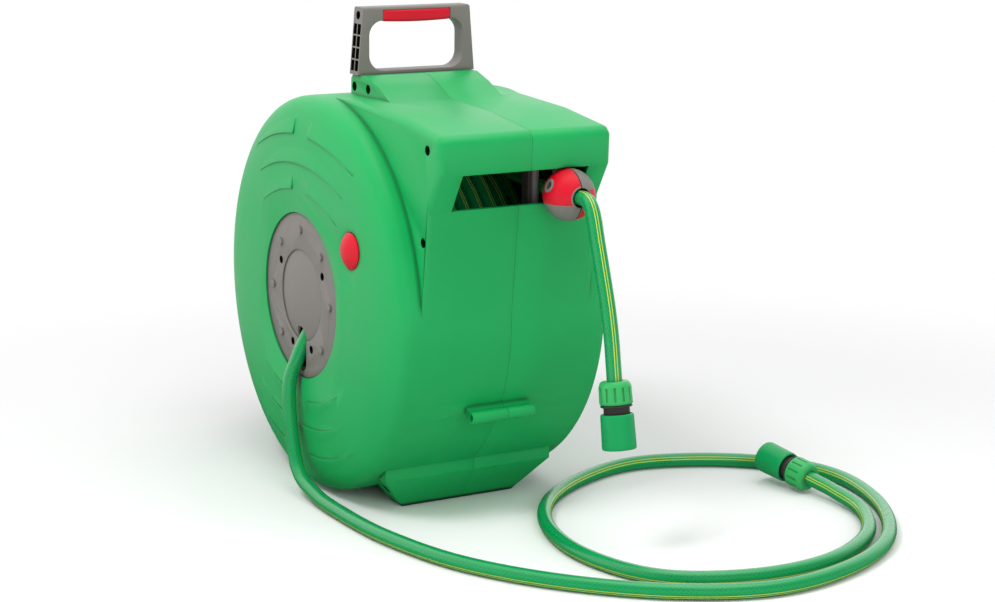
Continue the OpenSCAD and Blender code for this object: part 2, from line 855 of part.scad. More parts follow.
module spring_arbor() {
    color(steel) on_axis() ring_x(spring_x, spring_x + spring_w, arbor_r, axle_r);
}

// Drum
module barrel() {
    color(green) on_axis() difference() {
        rod_x(-barrel_x, barrel_x, barrel_r);
        rod_x(-barrel_x - over, barrel_x + over, barrel_r - barrel_t);
        translate([union_x, 0, 0]) cylinder(h = barrel_r * 2, r = feed_r + run);
    }
}

lightening_r = 22;
lightening_at = 60;
lightening_count = 6;

module flange_disc(hole_r) {
    difference() {
        rod_x(barrel_x, barrel_x + flange_t, flange_r);
        rod_x(barrel_x - over, barrel_x + flange_t + over, hole_r);
        for (i = [0 : lightening_count - 1]) rotate([i * 360 / lightening_count, 0, 0])
            translate([0, lightening_at, 0]) rod_x(barrel_x - over, barrel_x + flange_t + over, lightening_r);
    }
}

module left_flange() {
    color(green) on_axis() scale_x(-1) flange_disc(bush_r);
}

module right_flange() {
    color(green) on_axis() flange_disc(bush_r);
}

module bush() {
    difference() {
        union() {
            rod_x(barrel_x + flange_t - bush_len, barrel_x + flange_t, bush_r);
            rod_x(barrel_x + flange_t - bush_len, barrel_x, bush_r + flange_t);
        }
        rod_x(0, barrel_x * 2, axle_r + run);
    }
}

module left_bush() {
    color("white") on_axis() scale_x(-1) bush();
}

module right_bush() {
    color("white") on_axis() bush();
}

module ratchet_ring() {
    x = barrel_x + flange_t;
    step = 360 / ratchet_teeth;
    color(dark) on_axis() along_x(-x - ratchet_w, -x) difference() {
        polygon([for (i = [0 : ratchet_teeth - 1], h = [0, 1])
            let (a = (i + h * tooth_share) * step + ratchet_phase, r = h == 0 ? ratchet_root_r : ratchet_r)
                [r * cos(a), r * sin(a)]]);
        circle(r = ratchet_in_r);
    }
}

module spring_housing() {
    color(grey) on_axis() difference() {
        rod_x(housing_x, barrel_x, housing_r);
        rod_x(housing_x + housing_t, barrel_x + over, housing_r - housing_t);
        rod_x(housing_x - over, barrel_x, arbor_r + arbor_room);
    }
}

module power_spring() {
    n = spring_turns * loop_rings;
    step = 360 / loop_rings;
    grow = (spring_out_r - spring_in_r) / n;
    color(steel) on_axis() along_x(spring_x, spring_x + spring_w) polygon(concat(
        [for (i = [0 : n]) (spring_in_r + i * grow) * [cos(i * step), sin(i * step)]],
        [for (i = [n : -1 : 0]) (spring_in_r + spring_t + i * grow) * [cos(i * step), sin(i * step)]]));
}

module water_union() {
    color(grey) on_axis() difference() {
        union() {
            rod_x(union_x - union_w / 2, union_x + union_w / 2, union_r);
            translate([union_x, 0, 0]) cylinder(h = union_r + feed_r, r = feed_r + wall);
        }
        rod_x(union_x - union_w, union_x + union_w, axle_r + run);
        for (s = [-1, 1]) ring_x(union_x + s * seal_gap / 2 - seal_r, union_x + s * seal_gap / 2 + seal_r,
            axle_r + run + seal_r * 2, axle_r);
        translate([union_x, 0, 0]) cylinder(h = union_r * 2, r = feed_r + run);
    }
}

module union_seals() {
    color(dark) on_axis() for (s = [-1, 1]) translate([union_x + s * seal_gap / 2, 0, 0]) rotate([0, 90, 0])
        rotate_extrude() translate([axle_r + run + seal_r, 0]) circle(r = seal_r, $fn = 24);
}

module feed_tube() {
    color(grey) on_axis() translate([union_x, 0, union_r]) difference() {
        cylinder(h = barrel_r - union_r - over, r = feed_r);
        translate([0, 0, -over]) cylinder(h = barrel_r * 2, r = port_r);
    }
}

// Hose on the drum: a plain core of the inner layers and one wound outer layer
core_r = layer_r - hose_r - core_gap;
start_x = hose_r + layer_room - barrel_x;
layer_turns = (ball_x - start_x) / hose_pitch;
lead_angle = acos(layer_r / norm([ball_y, ball_z]));
end_angle = atan2(ball_z, -ball_y) + lead_angle;
turn_angle = 360 * layer_turns;

// Point on the outer layer after the angle a from its start; the layer ends at the top, heading for the slot
function layer_point(a) = let (f = end_angle + turn_angle - a)
    [start_x + hose_pitch * a / 360, -layer_r * cos(f), layer_r * sin(f)];
function layer_dir(a) = let (f = end_angle + turn_angle - a) [0, -sin(f), -cos(f)];
layer_line = concat([layer_point(0) - layer_dir(0) * hose_d],
    [for (i = [0 : loop_rings * layer_turns]) layer_point(i * 360 / loop_rings)],
    [layer_point(turn_angle), layer_point(turn_angle) + layer_dir(turn_angle) * hose_d]);

// Least gap between neighbouring turns of the outer layer, measured on its points
layer_gap = min([for (i = [1 : len(layer_line) - loop_rings - 5], k = [loop_rings - 2 : loop_rings + 2])
    norm(layer_line[i + k] - layer_line[i])]) - hose_d;
echo(wound_hose_gap = layer_gap, wound_hose_length = length_of(layer_line));

module winding_core() {
    rise = end_angle + turn_angle;
    color(green) on_axis() {
        ring_x(-barrel_x + fit, barrel_x - fit, core_r, barrel_r + fit);
        rotate([90 - rise, 0, 0]) box([start_x - hose_r, hose_d, core_r - hose_r],
            [start_x + hose_r - over, hose_d * 2, layer_r + hose_r - over]);
    }
}

module wound_hose() {
    color(green) on_axis() tube(layer_line, hose_r, wire_sides, [1, 0, 0]);
}

// Hose guide carriage on two rods, with a roller on each side of the hose
module guide_rods() {
    color(steel) on_axis() for (z = [rod_top_z, rod_low_z]) translate([0, rod_y, z])
        rod_x(-visor_x + wall, visor_x - wall, rod_r);
}

module roller_places() {
    for (s = [-1, 1]) translate([ball_x + s * roller_off, rod_y, 0]) children();
}

module guide_carriage() {
    color(dark) on_axis() difference() {
        union() {
            for (z = [rod_top_z, rod_low_z]) translate([ball_x, rod_y, z])
                rod_x(-carriage_x, carriage_x, carriage_r);
            translate([ball_x, rod_y, (rod_top_z + rod_low_z) / 2]) for (s = [-1, 1])
                translate([s * (carriage_x - cheek_t / 2), 0, 0])
                    cube([cheek_t, cheek_d, rod_top_z - rod_low_z], center = true);
            roller_places() translate([0, 0, rod_low_z + carriage_r / 2])
                cylinder(h = rod_top_z - rod_low_z - carriage_r, r = roller_pin_r);
        }
        for (z = [rod_top_z, rod_low_z]) translate([ball_x, rod_y, z])
            rod_x(-carriage_x - over, carriage_x + over, rod_r + run);
    }
}

module roller(s) {
    low = rod_low_z + carriage_r + fit;
    color("white") on_axis() translate([ball_x + s * roller_off, rod_y, low]) difference() {
        cylinder(h = rod_top_z - carriage_r - fit - low, r = roller_r);
        translate([0, 0, -over]) cylinder(h = rod_top_z, r = roller_pin_r + run);
    }
}

module left_roller() {
    roller(-1);
}

module right_roller() {
    roller(1);
}

// Ball stop in two halves clamped round the hose
module ball() {
    translate([ball_x, ball_y, ball_z]) difference() {
        sphere(d = ball_d);
        rotate([90, 0, 0]) translate([0, 0, -ball_d]) cylinder(h = ball_d * 2, r = hose_r);
        translate([0, ball_screw_y, ball_screw_z]) {
            rod_x(-ball_d, ball_d, screw_r);
            rod_x(-ball_d, -ball_screw_sink, ball_screw_r);
        }
    }
}

module ball_left() {
    color(red) on_axis() difference() {
        ball();
        translate([ball_x - ball_seam / 2, ball_y - ball_d, ball_z - ball_d]) cube(ball_d * 2);
    }
}

module ball_right() {
    color(grey) on_axis() difference() {
        ball();
        translate([ball_x + ball_seam / 2 - ball_d * 2, ball_y - ball_d, ball_z - ball_d]) cube(ball_d * 2);
    }
}

module ball_screw() {
    color(steel) on_axis() translate([ball_x, ball_y + ball_screw_y, ball_z + ball_screw_z]) {
        rod_x(-ball_screw_sink - screw_head_t, -ball_screw_sink, ball_screw_r - fit);
        rod_x(-ball_screw_sink, ball_screw_sink, screw_r);
    }
}

// Hose from the drum through the guide and the ball to the slot
lead_share = 0.75;
lead_start = layer_point(turn_angle) + layer_dir(turn_angle) * (hose_d + over);
lead_end = [ball_x, rod_y + cheek_d, ball_z];
inner_line = [lead_start, lead_start + layer_dir(turn_angle) * hose_d * 2,
    lead_start + (lead_end - lead_start) * lead_share, lead_end, [ball_x, rod_y - cheek_d, ball_z],
    [ball_x, ball_y - ball_d / 2, ball_z]];

// Runs a line of points straight on for one hose diameter
function run_on(p) = let (e = len(p) - 1) concat(p, [p[e] + unit(p[e] - p[e - 1]) * hose_d]);
function last_point(p) = p[len(p) - 1];
function last_dir(p) = unit(p[len(p) - 1] - p[len(p) - 2]);

ball_front = [ball_x, axis_y + ball_y - ball_d / 2 - outlet_gap, axis_z + ball_z];
outlet_line = run_on([for (p = outlet_steps) ball_front + p]);
supply_route = concat([for (p = supply_drop) [0, axis_y, axis_z] + p],
    [for (p = supply_loop) [0, axis_y, axis_z + foot_z] + p]);
supply_line = run_on(smooth(supply_route, 2));
echo(supply_hose_length = length_of(supply_line), supply_end = last_point(supply_line));
echo(supply_dir = last_dir(supply_line));
echo(outlet_hose_length = length_of(outlet_line), outlet_end = last_point(outlet_line));
echo(outlet_dir = last_dir(outlet_line));

module inner_hose() {
    color(green) on_axis() tube(smooth(inner_line, 2), hose_r - fit / 2, hose_sides, [1, 0, 0]);
}

module outlet_hose() {
    color(green) tube(outlet_line, hose_r - fit / 2, hose_sides, [1, 0, 0]);
}

module supply_hose() {
    color(green) tube(supply_line, hose_r - fit / 2, hose_sides, [0, 1, 0]);
}

// Quick couplings, made along +Z from the hose's end
module stem() {
    difference() {
        union() {
            cylinder(h = nut_len + collar_len + stem_len, r = stem_out_r);
            translate([0, 0, nut_len]) cylinder(h = collar_len + stem_len, r = collar_r - wall);
        }
        translate([0, 0, -over]) cylinder(h = nut_len * 4, r = stem_bore_r);
    }
}

module nut() {
    difference() {
        union() {
            cylinder(h = nut_len, d = nut_d - rib_r * 2);
            for (i = [0 : rib_count - 1]) rotate([0, 0, i * 360 / rib_count])
                translate([nut_d / 2 - rib_r, 0, 0]) cylinder(h = nut_len, r = rib_r, $fn = 16);
        }
        translate([0, 0, -over]) cylinder(h = nut_len * 2, r = stem_out_r);
    }
}

module collar() {
    translate([0, 0, nut_len]) difference() {
        cylinder(h = collar_len + stem_len, r = collar_r - run);
        translate([0, 0, -over]) cylinder(h = nut_len * 2, r = collar_r - wall);
    }
}

module sleeve() {
    translate([0, 0, nut_len + collar_len]) difference() {
        cylinder(h = sleeve_len, d = sleeve_d);
        translate([0, 0, -over]) cylinder(h = sleeve_len * 2, r = collar_r);
    }
}

module at_outlet() {
    aim(last_point(outlet_line), last_dir(outlet_line)) children();
}

module at_supply() {
    aim(last_point(supply_line), last_dir(supply_line)) children();
}

module outlet_stem() { color(grey) at_outlet() stem(); }
module outlet_nut() { color(pale_green) at_outlet() nut(); }
module outlet_collar() { color(dark) at_outlet() collar(); }
module outlet_sleeve() { color(green) at_outlet() sleeve(); }
module supply_stem() { color(grey) at_supply() stem(); }
module supply_nut() { color(pale_green) at_supply() nut(); }
module supply_collar() { color(dark) at_supply() collar(); }
module supply_sleeve() { color(green) at_supply() sleeve(); }

// Lock button, its cam, return spring, and the pawl that the cam swings into the ratchet
stem_tip = barrel_x + flange_t + button_travel + over;

module lock_button() {
    r = button_d / 2;
    top = hub_face_x + button_rise;
    low = hub_face_x - button_skirt;
    under = hub_face_x - button_wall;
    dome_r = (r * r + button_rise * button_rise) / (2 * button_rise);
    spread = asin(r / dome_r);
    crown = [for (i = [0 : dome_steps]) let (a = spread * i / dome_steps)
        [dome_r * sin(a), top - dome_r + dome_r * cos(a)]];
    color(red) on_axis() translate([0, button_y, button_z]) scale_x(-1) about_x() polygon(concat(crown,
        [[r, low], [r - button_wall, low], [r - button_wall, under], [stem_r, under], [stem_r, stem_tip],
            [0, stem_tip]]));
}

module button_cam() {
    x = -pawl_x + pawl_w / 2 + fit;
    color(steel) on_axis() translate([0, button_y, button_z]) scale_x(-1) difference() {
        translate([x, 0, 0]) rotate([0, 90, 0])
            cylinder(h = cam_r - stem_r, r1 = stem_r + cam_lip, r2 = cam_r);
        rod_x(x - over, x + cam_r, stem_r);
    }
}

curl_rings = 8;
spring_wire_r = 0.8;
button_curls = 4;
button_spring_r = 12;
pawl_curls = 3;
pawl_spring_w = 7;

function curl_line(from, to, r, turns) = [for (i = [0 : turns * curl_rings])
    let (a = i * 360 / curl_rings) [from + (to - from) * i / (turns * curl_rings), r * cos(a), r * sin(a)]];

module button_spring() {
    from = -hub_face_x + button_wall + spring_wire_r + fit;
    to = -hub_face_x + guide_len - spring_wire_r - fit;
    color(steel) on_axis() translate([0, button_y, button_z])
        tube(curl_line(from, to, button_spring_r, button_curls), spring_wire_r, wire_sides, [1, 0, 0]);
}

module pawl_pin() {
    color(steel) on_axis() translate([0, pawl_y, pawl_z])
        rod_x(-hub_face_x + wall, pawl_x + pawl_w / 2 + fit, pawl_pin_r);
}

module pawl_spring() {
    to = pawl_x - pawl_w / 2 - spring_wire_r - fit;
    r = (pin_boss_r + fit) / cos(180 / curl_rings) + spring_wire_r * 2;
    color(steel) on_axis() translate([0, pawl_y, pawl_z])
        tube(curl_line(to - pawl_spring_w, to, r, pawl_curls), spring_wire_r, wire_sides, [1, 0, 0]);
}

module pawl() {
    from = pawl_x - pawl_w / 2;
    to = pawl_x + pawl_w / 2;
    h = pawl_hub_r * arm_share;
    color(grey) on_axis() translate([0, pawl_y, pawl_z]) rotate([pawl_angle, 0, 0]) difference() {
        union() {
            rod_x(from, to, pawl_hub_r);
            along_x(from, to)
                polygon([[-h, -h], [0, 0], [tail_len, -tail_in], [tail_len, -tail_in - tail_w]]);
            along_x(from, to) polygon([[h, h], [-h, -h], [tip_u, -tip_v - tip_w], [tip_u + tip_w, -tip_v]]);
        }
        rod_x(from - over, to + over, pawl_pin_r + run);
    }
}

wall_bracket();
pivot_tube();
pivot_o_ring();
left_casing();
right_casing();
casing_screws();
handle();
handle_grip();
hub_cover();
spring_cover();
axle();
spring_arbor();
guide_rods();
pawl_pin();
pawl_spring();
button_spring();
lock_button();
button_cam();
pawl();
barrel();
left_flange();
right_flange();
left_bush();
right_bush();
ratchet_ring();
spring_housing();
power_spring();
water_union();
union_seals();
feed_tube();
winding_core();
wound_hose();
guide_carriage();
left_roller();
right_roller();
ball_left();
ball_right();
ball_screw();
inner_hose();
outlet_hose();
outlet_stem();
outlet_nut();
outlet_collar();
outlet_sleeve();
supply_hose();
supply_stem();
supply_nut();
supply_collar();
supply_sleeve();
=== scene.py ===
"""Looks of a wall mounted hose reel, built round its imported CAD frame.

Each sub-assembly is a class that models or refines its pieces, dresses them and sets them on their bodies.
Lengths are in metres, in the frame of the CAD model.
"""

from __future__ import annotations

import json
import logging
import math
from collections.abc import Callable, Sequence
from dataclasses import dataclass
from enum import Enum
from typing import Any

import bpy
from mathutils import Matrix, Vector

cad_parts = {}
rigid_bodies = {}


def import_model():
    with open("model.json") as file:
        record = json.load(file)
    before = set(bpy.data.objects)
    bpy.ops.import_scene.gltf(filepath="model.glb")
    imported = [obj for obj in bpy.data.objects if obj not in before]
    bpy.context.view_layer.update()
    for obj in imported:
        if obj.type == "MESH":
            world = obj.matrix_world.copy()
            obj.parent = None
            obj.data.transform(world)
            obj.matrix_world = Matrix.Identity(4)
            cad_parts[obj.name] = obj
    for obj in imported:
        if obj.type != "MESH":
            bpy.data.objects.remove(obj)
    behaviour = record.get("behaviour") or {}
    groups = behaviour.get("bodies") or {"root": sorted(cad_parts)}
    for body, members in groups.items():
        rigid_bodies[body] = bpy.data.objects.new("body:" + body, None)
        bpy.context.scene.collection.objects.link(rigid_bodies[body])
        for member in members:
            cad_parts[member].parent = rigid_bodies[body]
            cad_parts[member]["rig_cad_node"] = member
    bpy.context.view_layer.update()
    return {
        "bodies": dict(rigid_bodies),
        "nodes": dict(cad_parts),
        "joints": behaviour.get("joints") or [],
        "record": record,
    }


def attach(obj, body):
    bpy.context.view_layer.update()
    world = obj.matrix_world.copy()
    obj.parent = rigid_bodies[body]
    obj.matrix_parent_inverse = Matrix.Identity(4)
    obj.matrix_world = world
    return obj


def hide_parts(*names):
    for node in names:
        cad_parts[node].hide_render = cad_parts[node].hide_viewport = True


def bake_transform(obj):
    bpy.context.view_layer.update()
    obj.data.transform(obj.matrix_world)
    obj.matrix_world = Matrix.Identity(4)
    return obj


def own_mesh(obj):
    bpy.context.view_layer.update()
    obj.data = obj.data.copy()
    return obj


LOG = logging.getLogger("hose_reel")
MM = 0.001
Triple = tuple[float, float, float]
Test = Callable[[Vector, Vector], bool]
Share = Callable[[Vector, Vector], float]


class Slot(Enum):
    """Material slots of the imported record."""

    SHELL = "green_shell"
    GREY = "grey_plastic"
    RED = "red_plastic"
    PALE = "pale_green"
    DARK = "dark_plastic"
    WHITE = "white_plastic"
    STEEL = "steel"
    SEAL = "seal"
    HOSE = "hose"


class Body(Enum):
    """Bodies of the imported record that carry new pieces."""

    WALL = "wall"
    REEL = "reel"
    DRUM = "drum"
    GUIDE = "hose_guide"
    OUTLET_SLEEVE = "outlet_sleeve"
    SUPPLY_SLEEVE = "supply_sleeve"


def linear(red: int, green: int, blue: int) -> tuple[float, float, float, float]:
    """Turns a colour in 8-bit screen values into the linear values that shaders use.

    Args:
        red, green, blue: screen values from 0 to 255.

    Returns:
        The linear colour with full alpha.
    """

    def one(value: int) -> float:
        """One channel."""
        share = value / 255
        return share / 12.92 if share <= 0.04045 else ((share + 0.055) / 1.055) ** 2.4

    return one(red), one(green), one(blue), 1.0


class Bench:
    """The modelling bench: selection, edit mode and modifiers, as worked by hand."""

    @staticmethod
    def pick(piece: bpy.types.Object) -> None:
        """Makes one piece the only selected and active object.

        Args:
            piece: a mesh object.
        """
        bpy.ops.object.select_all(action="DESELECT")
        piece.select_set(True)
        bpy.context.view_layer.objects.active = piece

    @staticmethod
    def edit() -> None:
        """Enters edit mode with everything selected."""
        bpy.ops.object.mode_set(mode="EDIT")
        bpy.ops.mesh.select_mode(type="VERT")
        bpy.ops.mesh.select_all(action="SELECT")

    @staticmethod
    def leave() -> None:
        """Goes back to object mode."""
        bpy.ops.object.mode_set(mode="OBJECT")

    @staticmethod
    def choose_faces(piece: bpy.types.Object, test: Test) -> None:
        """Enters edit mode with only the faces selected that pass a test.

        Args:
            piece: the active mesh object.
            test: takes a face's centre and normal.
        """
        bpy.ops.object.mode_set(mode="EDIT")
        bpy.ops.mesh.select_mode(type="FACE")
        bpy.ops.mesh.select_all(action="DESELECT")
        bpy.ops.object.mode_set(mode="OBJECT")
        for face in piece.data.polygons:
            face.select = test(face.center, face.normal)
        bpy.ops.object.mode_set(mode="EDIT")

    @staticmethod
    def remove(piece: bpy.types.Object, test: Test) -> None:
        """Deletes the active piece's faces that pass a test.

        Args:
            piece: the active mesh object.
            test: takes a face's centre and normal.
        """
        Bench.choose_faces(piece, test)
        bpy.ops.mesh.delete(type="FACE")
        Bench.leave()

    @staticmethod
    def recolour(piece: bpy.types.Object, test: Test) -> None:
        """Gives the faces that pass a test the piece's second material.

        Args:
            piece: a mesh object.
            test: takes a face's centre and normal.
        """
        Bench.pick(piece)
        Bench.choose_faces(piece, test)
        piece.active_material_index = 1
        bpy.ops.object.material_slot_assign()
        Bench.leave()

    @staticmethod
    def apply(piece: bpy.types.Object) -> None:
        """Applies all the piece's modifiers in order.

        Args:
            piece: a mesh object.
        """
        Bench.pick(piece)
        for modifier in list(piece.modifiers):
            bpy.ops.object.modifier_apply(modifier=modifier.name)

    @staticmethod
    def outwards(piece: bpy.types.Object) -> None:
        """Merges doubled points and turns every face outwards.

        Args:
            piece: a mesh object.
        """
        Bench.pick(piece)
        Bench.edit()
        bpy.ops.mesh.remove_doubles(threshold=0.002 * MM)
        bpy.ops.mesh.normals_make_consistent(inside=False)
        Bench.leave()

    @staticmethod
    def smooth(piece: bpy.types.Object, degrees: float = 35) -> None:
        """Shades the piece smooth, with creases kept above an angle."""
        Bench.pick(piece)
        bpy.ops.object.shade_smooth_by_angle(angle=math.radians(degrees))

    @staticmethod
    def round_edges(piece: bpy.types.Object, width: float, segments: int = 2, degrees: float = 32) -> None:
        """Bevels the piece's sharp edges and applies the bevel.

        Args:
            piece: a mesh object.
            width: width of the bevel.
            segments: faces across the bevel.
            degrees: edges flatter than this stay as they are.
        """
        bevel = piece.modifiers.new("round_edges", "BEVEL")
        bevel.width = width
        bevel.segments = segments
        bevel.limit_method = "ANGLE"
        bevel.angle_limit = math.radians(degrees)
        bevel.use_clamp_overlap = False
        bevel.miter_outer = "MITER_ARC"
        Bench.apply(piece)

    @staticmethod
    def lathe(name: str, stations: Sequence[tuple[float, float]], segments: int = 48) -> bpy.types.Object:
        """Turns a closed profile about Z by extruding a ring of edges from station to station.

        Args:
            name: name of the new piece.
            stations: radius and height of each ring, in millimetres; the last ring meets the first.
            segments: faces round the axis.

        Returns:
            The new piece at the origin.
        """
        radius, height = stations[0]
        bpy.ops.object.select_all(action="DESELECT")
        bpy.ops.mesh.primitive_circle_add(vertices=segments, radius=radius * MM)
        Bench.edit()
        bpy.ops.transform.translate(value=(0, 0, height * MM))
        for wide, high in [*stations[1:], stations[0]]:
            bpy.ops.mesh.extrude_region_move(TRANSFORM_OT_translate={"value": (0, 0, (high - height) * MM)})
            share = wide / radius
            bpy.ops.transform.resize(value=(share, share, 1), center_override=(0, 0, high * MM))
            radius, height = wide, high
        Bench.leave()
        piece = bpy.context.active_object
        piece.name = name
        piece.data.name = name
        Bench.outwards(piece)
        return piece

    @staticmethod
    def soften(piece: bpy.types.Object, width: float, share: Share) -> None:
        """Gives chosen edges a wide, soft rounding.

        Args:
            piece: a mesh object.
            width: width of the widest rounding.
            share: takes the two ends of an edge and gives its share of that width.
        """
        weights = piece.data.attributes.new("bevel_weight_edge", "FLOAT", "EDGE")
        points = piece.data.vertices
        for edge in piece.data.edges:
            weights.data[edge.index].value = share(*(points[v].co for v in edge.vertices))
        bevel = piece.modifiers.new("soft_edges", "BEVEL")
        bevel.width = width
        bevel.segments = 4
        bevel.limit_method = "WEIGHT"
        bevel.use_clamp_overlap = False
        Bench.apply(piece)
        piece.data.attributes.remove(piece.data.attributes["bevel_weight_edge"])

    @staticmethod
    def refine(
        frame: dict[str, Any], node: str, name: str, edge: float, soft: tuple[float, Share] | None = None
    ) -> bpy.types.Object:
        """Copies a CAD node as a clean mesh with moulded, rounded edges.

        Args:
            frame: the loaded frame.
            node: the CAD node to copy.
            name: name of the new piece.
            edge: width of the rounding of every sharp edge, or zero.
            soft: width of a wide rounding and each edge's share of it.

        Returns:
            The new piece, which stands for the node.
        """
        piece = bpy.data.objects.new(name, frame["nodes"][node].data.copy())
        bpy.context.scene.collection.objects.link(piece)
        Bench.pick(piece)
        bpy.ops.mesh.customdata_custom_splitnormals_clear()
        Bench.edit()
        bpy.ops.mesh.remove_doubles(threshold=0.004 * MM)
        bpy.ops.mesh.dissolve_limited(angle_limit=math.radians(0.2))
        Bench.leave()
        if soft:
            Bench.soften(piece, *soft)
        if edge:
            Bench.round_edges(piece, edge)
        Bench.smooth(piece)
        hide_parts(node)
        return piece


class Graph:
    """Adds and links the nodes of one shader tree."""

    def __init__(self, tree: bpy.types.NodeTree) -> None:
        """Keeps the tree."""
        self.tree = tree

    @classmethod
    def material(cls, name: str) -> tuple[bpy.types.Material, Graph, bpy.types.Node]:
        """Starts a material.

        Args:
            name: name of the material.

        Returns:
            The material, its graph and its Principled shader.
        """
        material = bpy.data.materials.new(name)
        material.use_nodes = True
        graph = cls(material.node_tree)
        return material, graph, graph.tree.nodes["Principled BSDF"]

    def fill(self, node: bpy.types.Node, inputs: dict[Any, Any]) -> None:
        """Gives a node's inputs, by name or number, their values or the sockets that feed them.

        Args:
            node: a node of this tree.
            inputs: values or sockets by the input's name or number.
        """
        for name, value in inputs.items():
            if isinstance(value, bpy.types.NodeSocket):
                self.tree.links.new(value, node.inputs[name])
            else:
                node.inputs[name].default_value = value

    def add(self, kind: str, inputs: dict[Any, Any] | None = None, **settings: Any) -> bpy.types.Node:
        """Adds a node.

        Args:
            kind: Blender's name of the node's type.
            inputs: values or sockets by the input's name or number.
            **settings: the node's own settings.

        Returns:
            The node.
        """
        node = self.tree.nodes.new(kind)
        for name, value in settings.items():
            setattr(node, name, value)
        self.fill(node, inputs or {})
        return node

    def group(self, tree: bpy.types.NodeTree, inputs: dict[Any, Any]) -> Any:
        """Adds a node group and returns its outputs."""
        return self.add("ShaderNodeGroup", inputs, node_tree=tree).outputs

    def noise(self, place: bpy.types.NodeSocket, scale: Any, detail: float, rough: float = 0.5) -> Any:
        """Adds a noise texture and returns its value."""
        inputs = {"Vector": place, "Scale": scale, "Detail": detail, "Roughness": rough}
        return self.add("ShaderNodeTexNoise", inputs).outputs[0]

    def place(self) -> bpy.types.NodeSocket:
        """Adds the object's own coordinates."""
        return self.add("ShaderNodeTexCoord").outputs["Object"]

    def sum(self, operation: str, first: Any, second: Any = 0.0, clamp: bool = False) -> bpy.types.NodeSocket:
        """Adds a Math node and returns its output."""
        node = self.add("ShaderNodeMath", {0: first, 1: second}, operation=operation, use_clamp=clamp)
        return node.outputs[0]

    def mix(self, share: Any, first: Any, second: Any) -> bpy.types.NodeSocket:
        """Mixes two colours and returns the result's socket."""
        return self.add("ShaderNodeMix", {0: share, 6: first, 7: second}, data_type="RGBA").outputs[2]


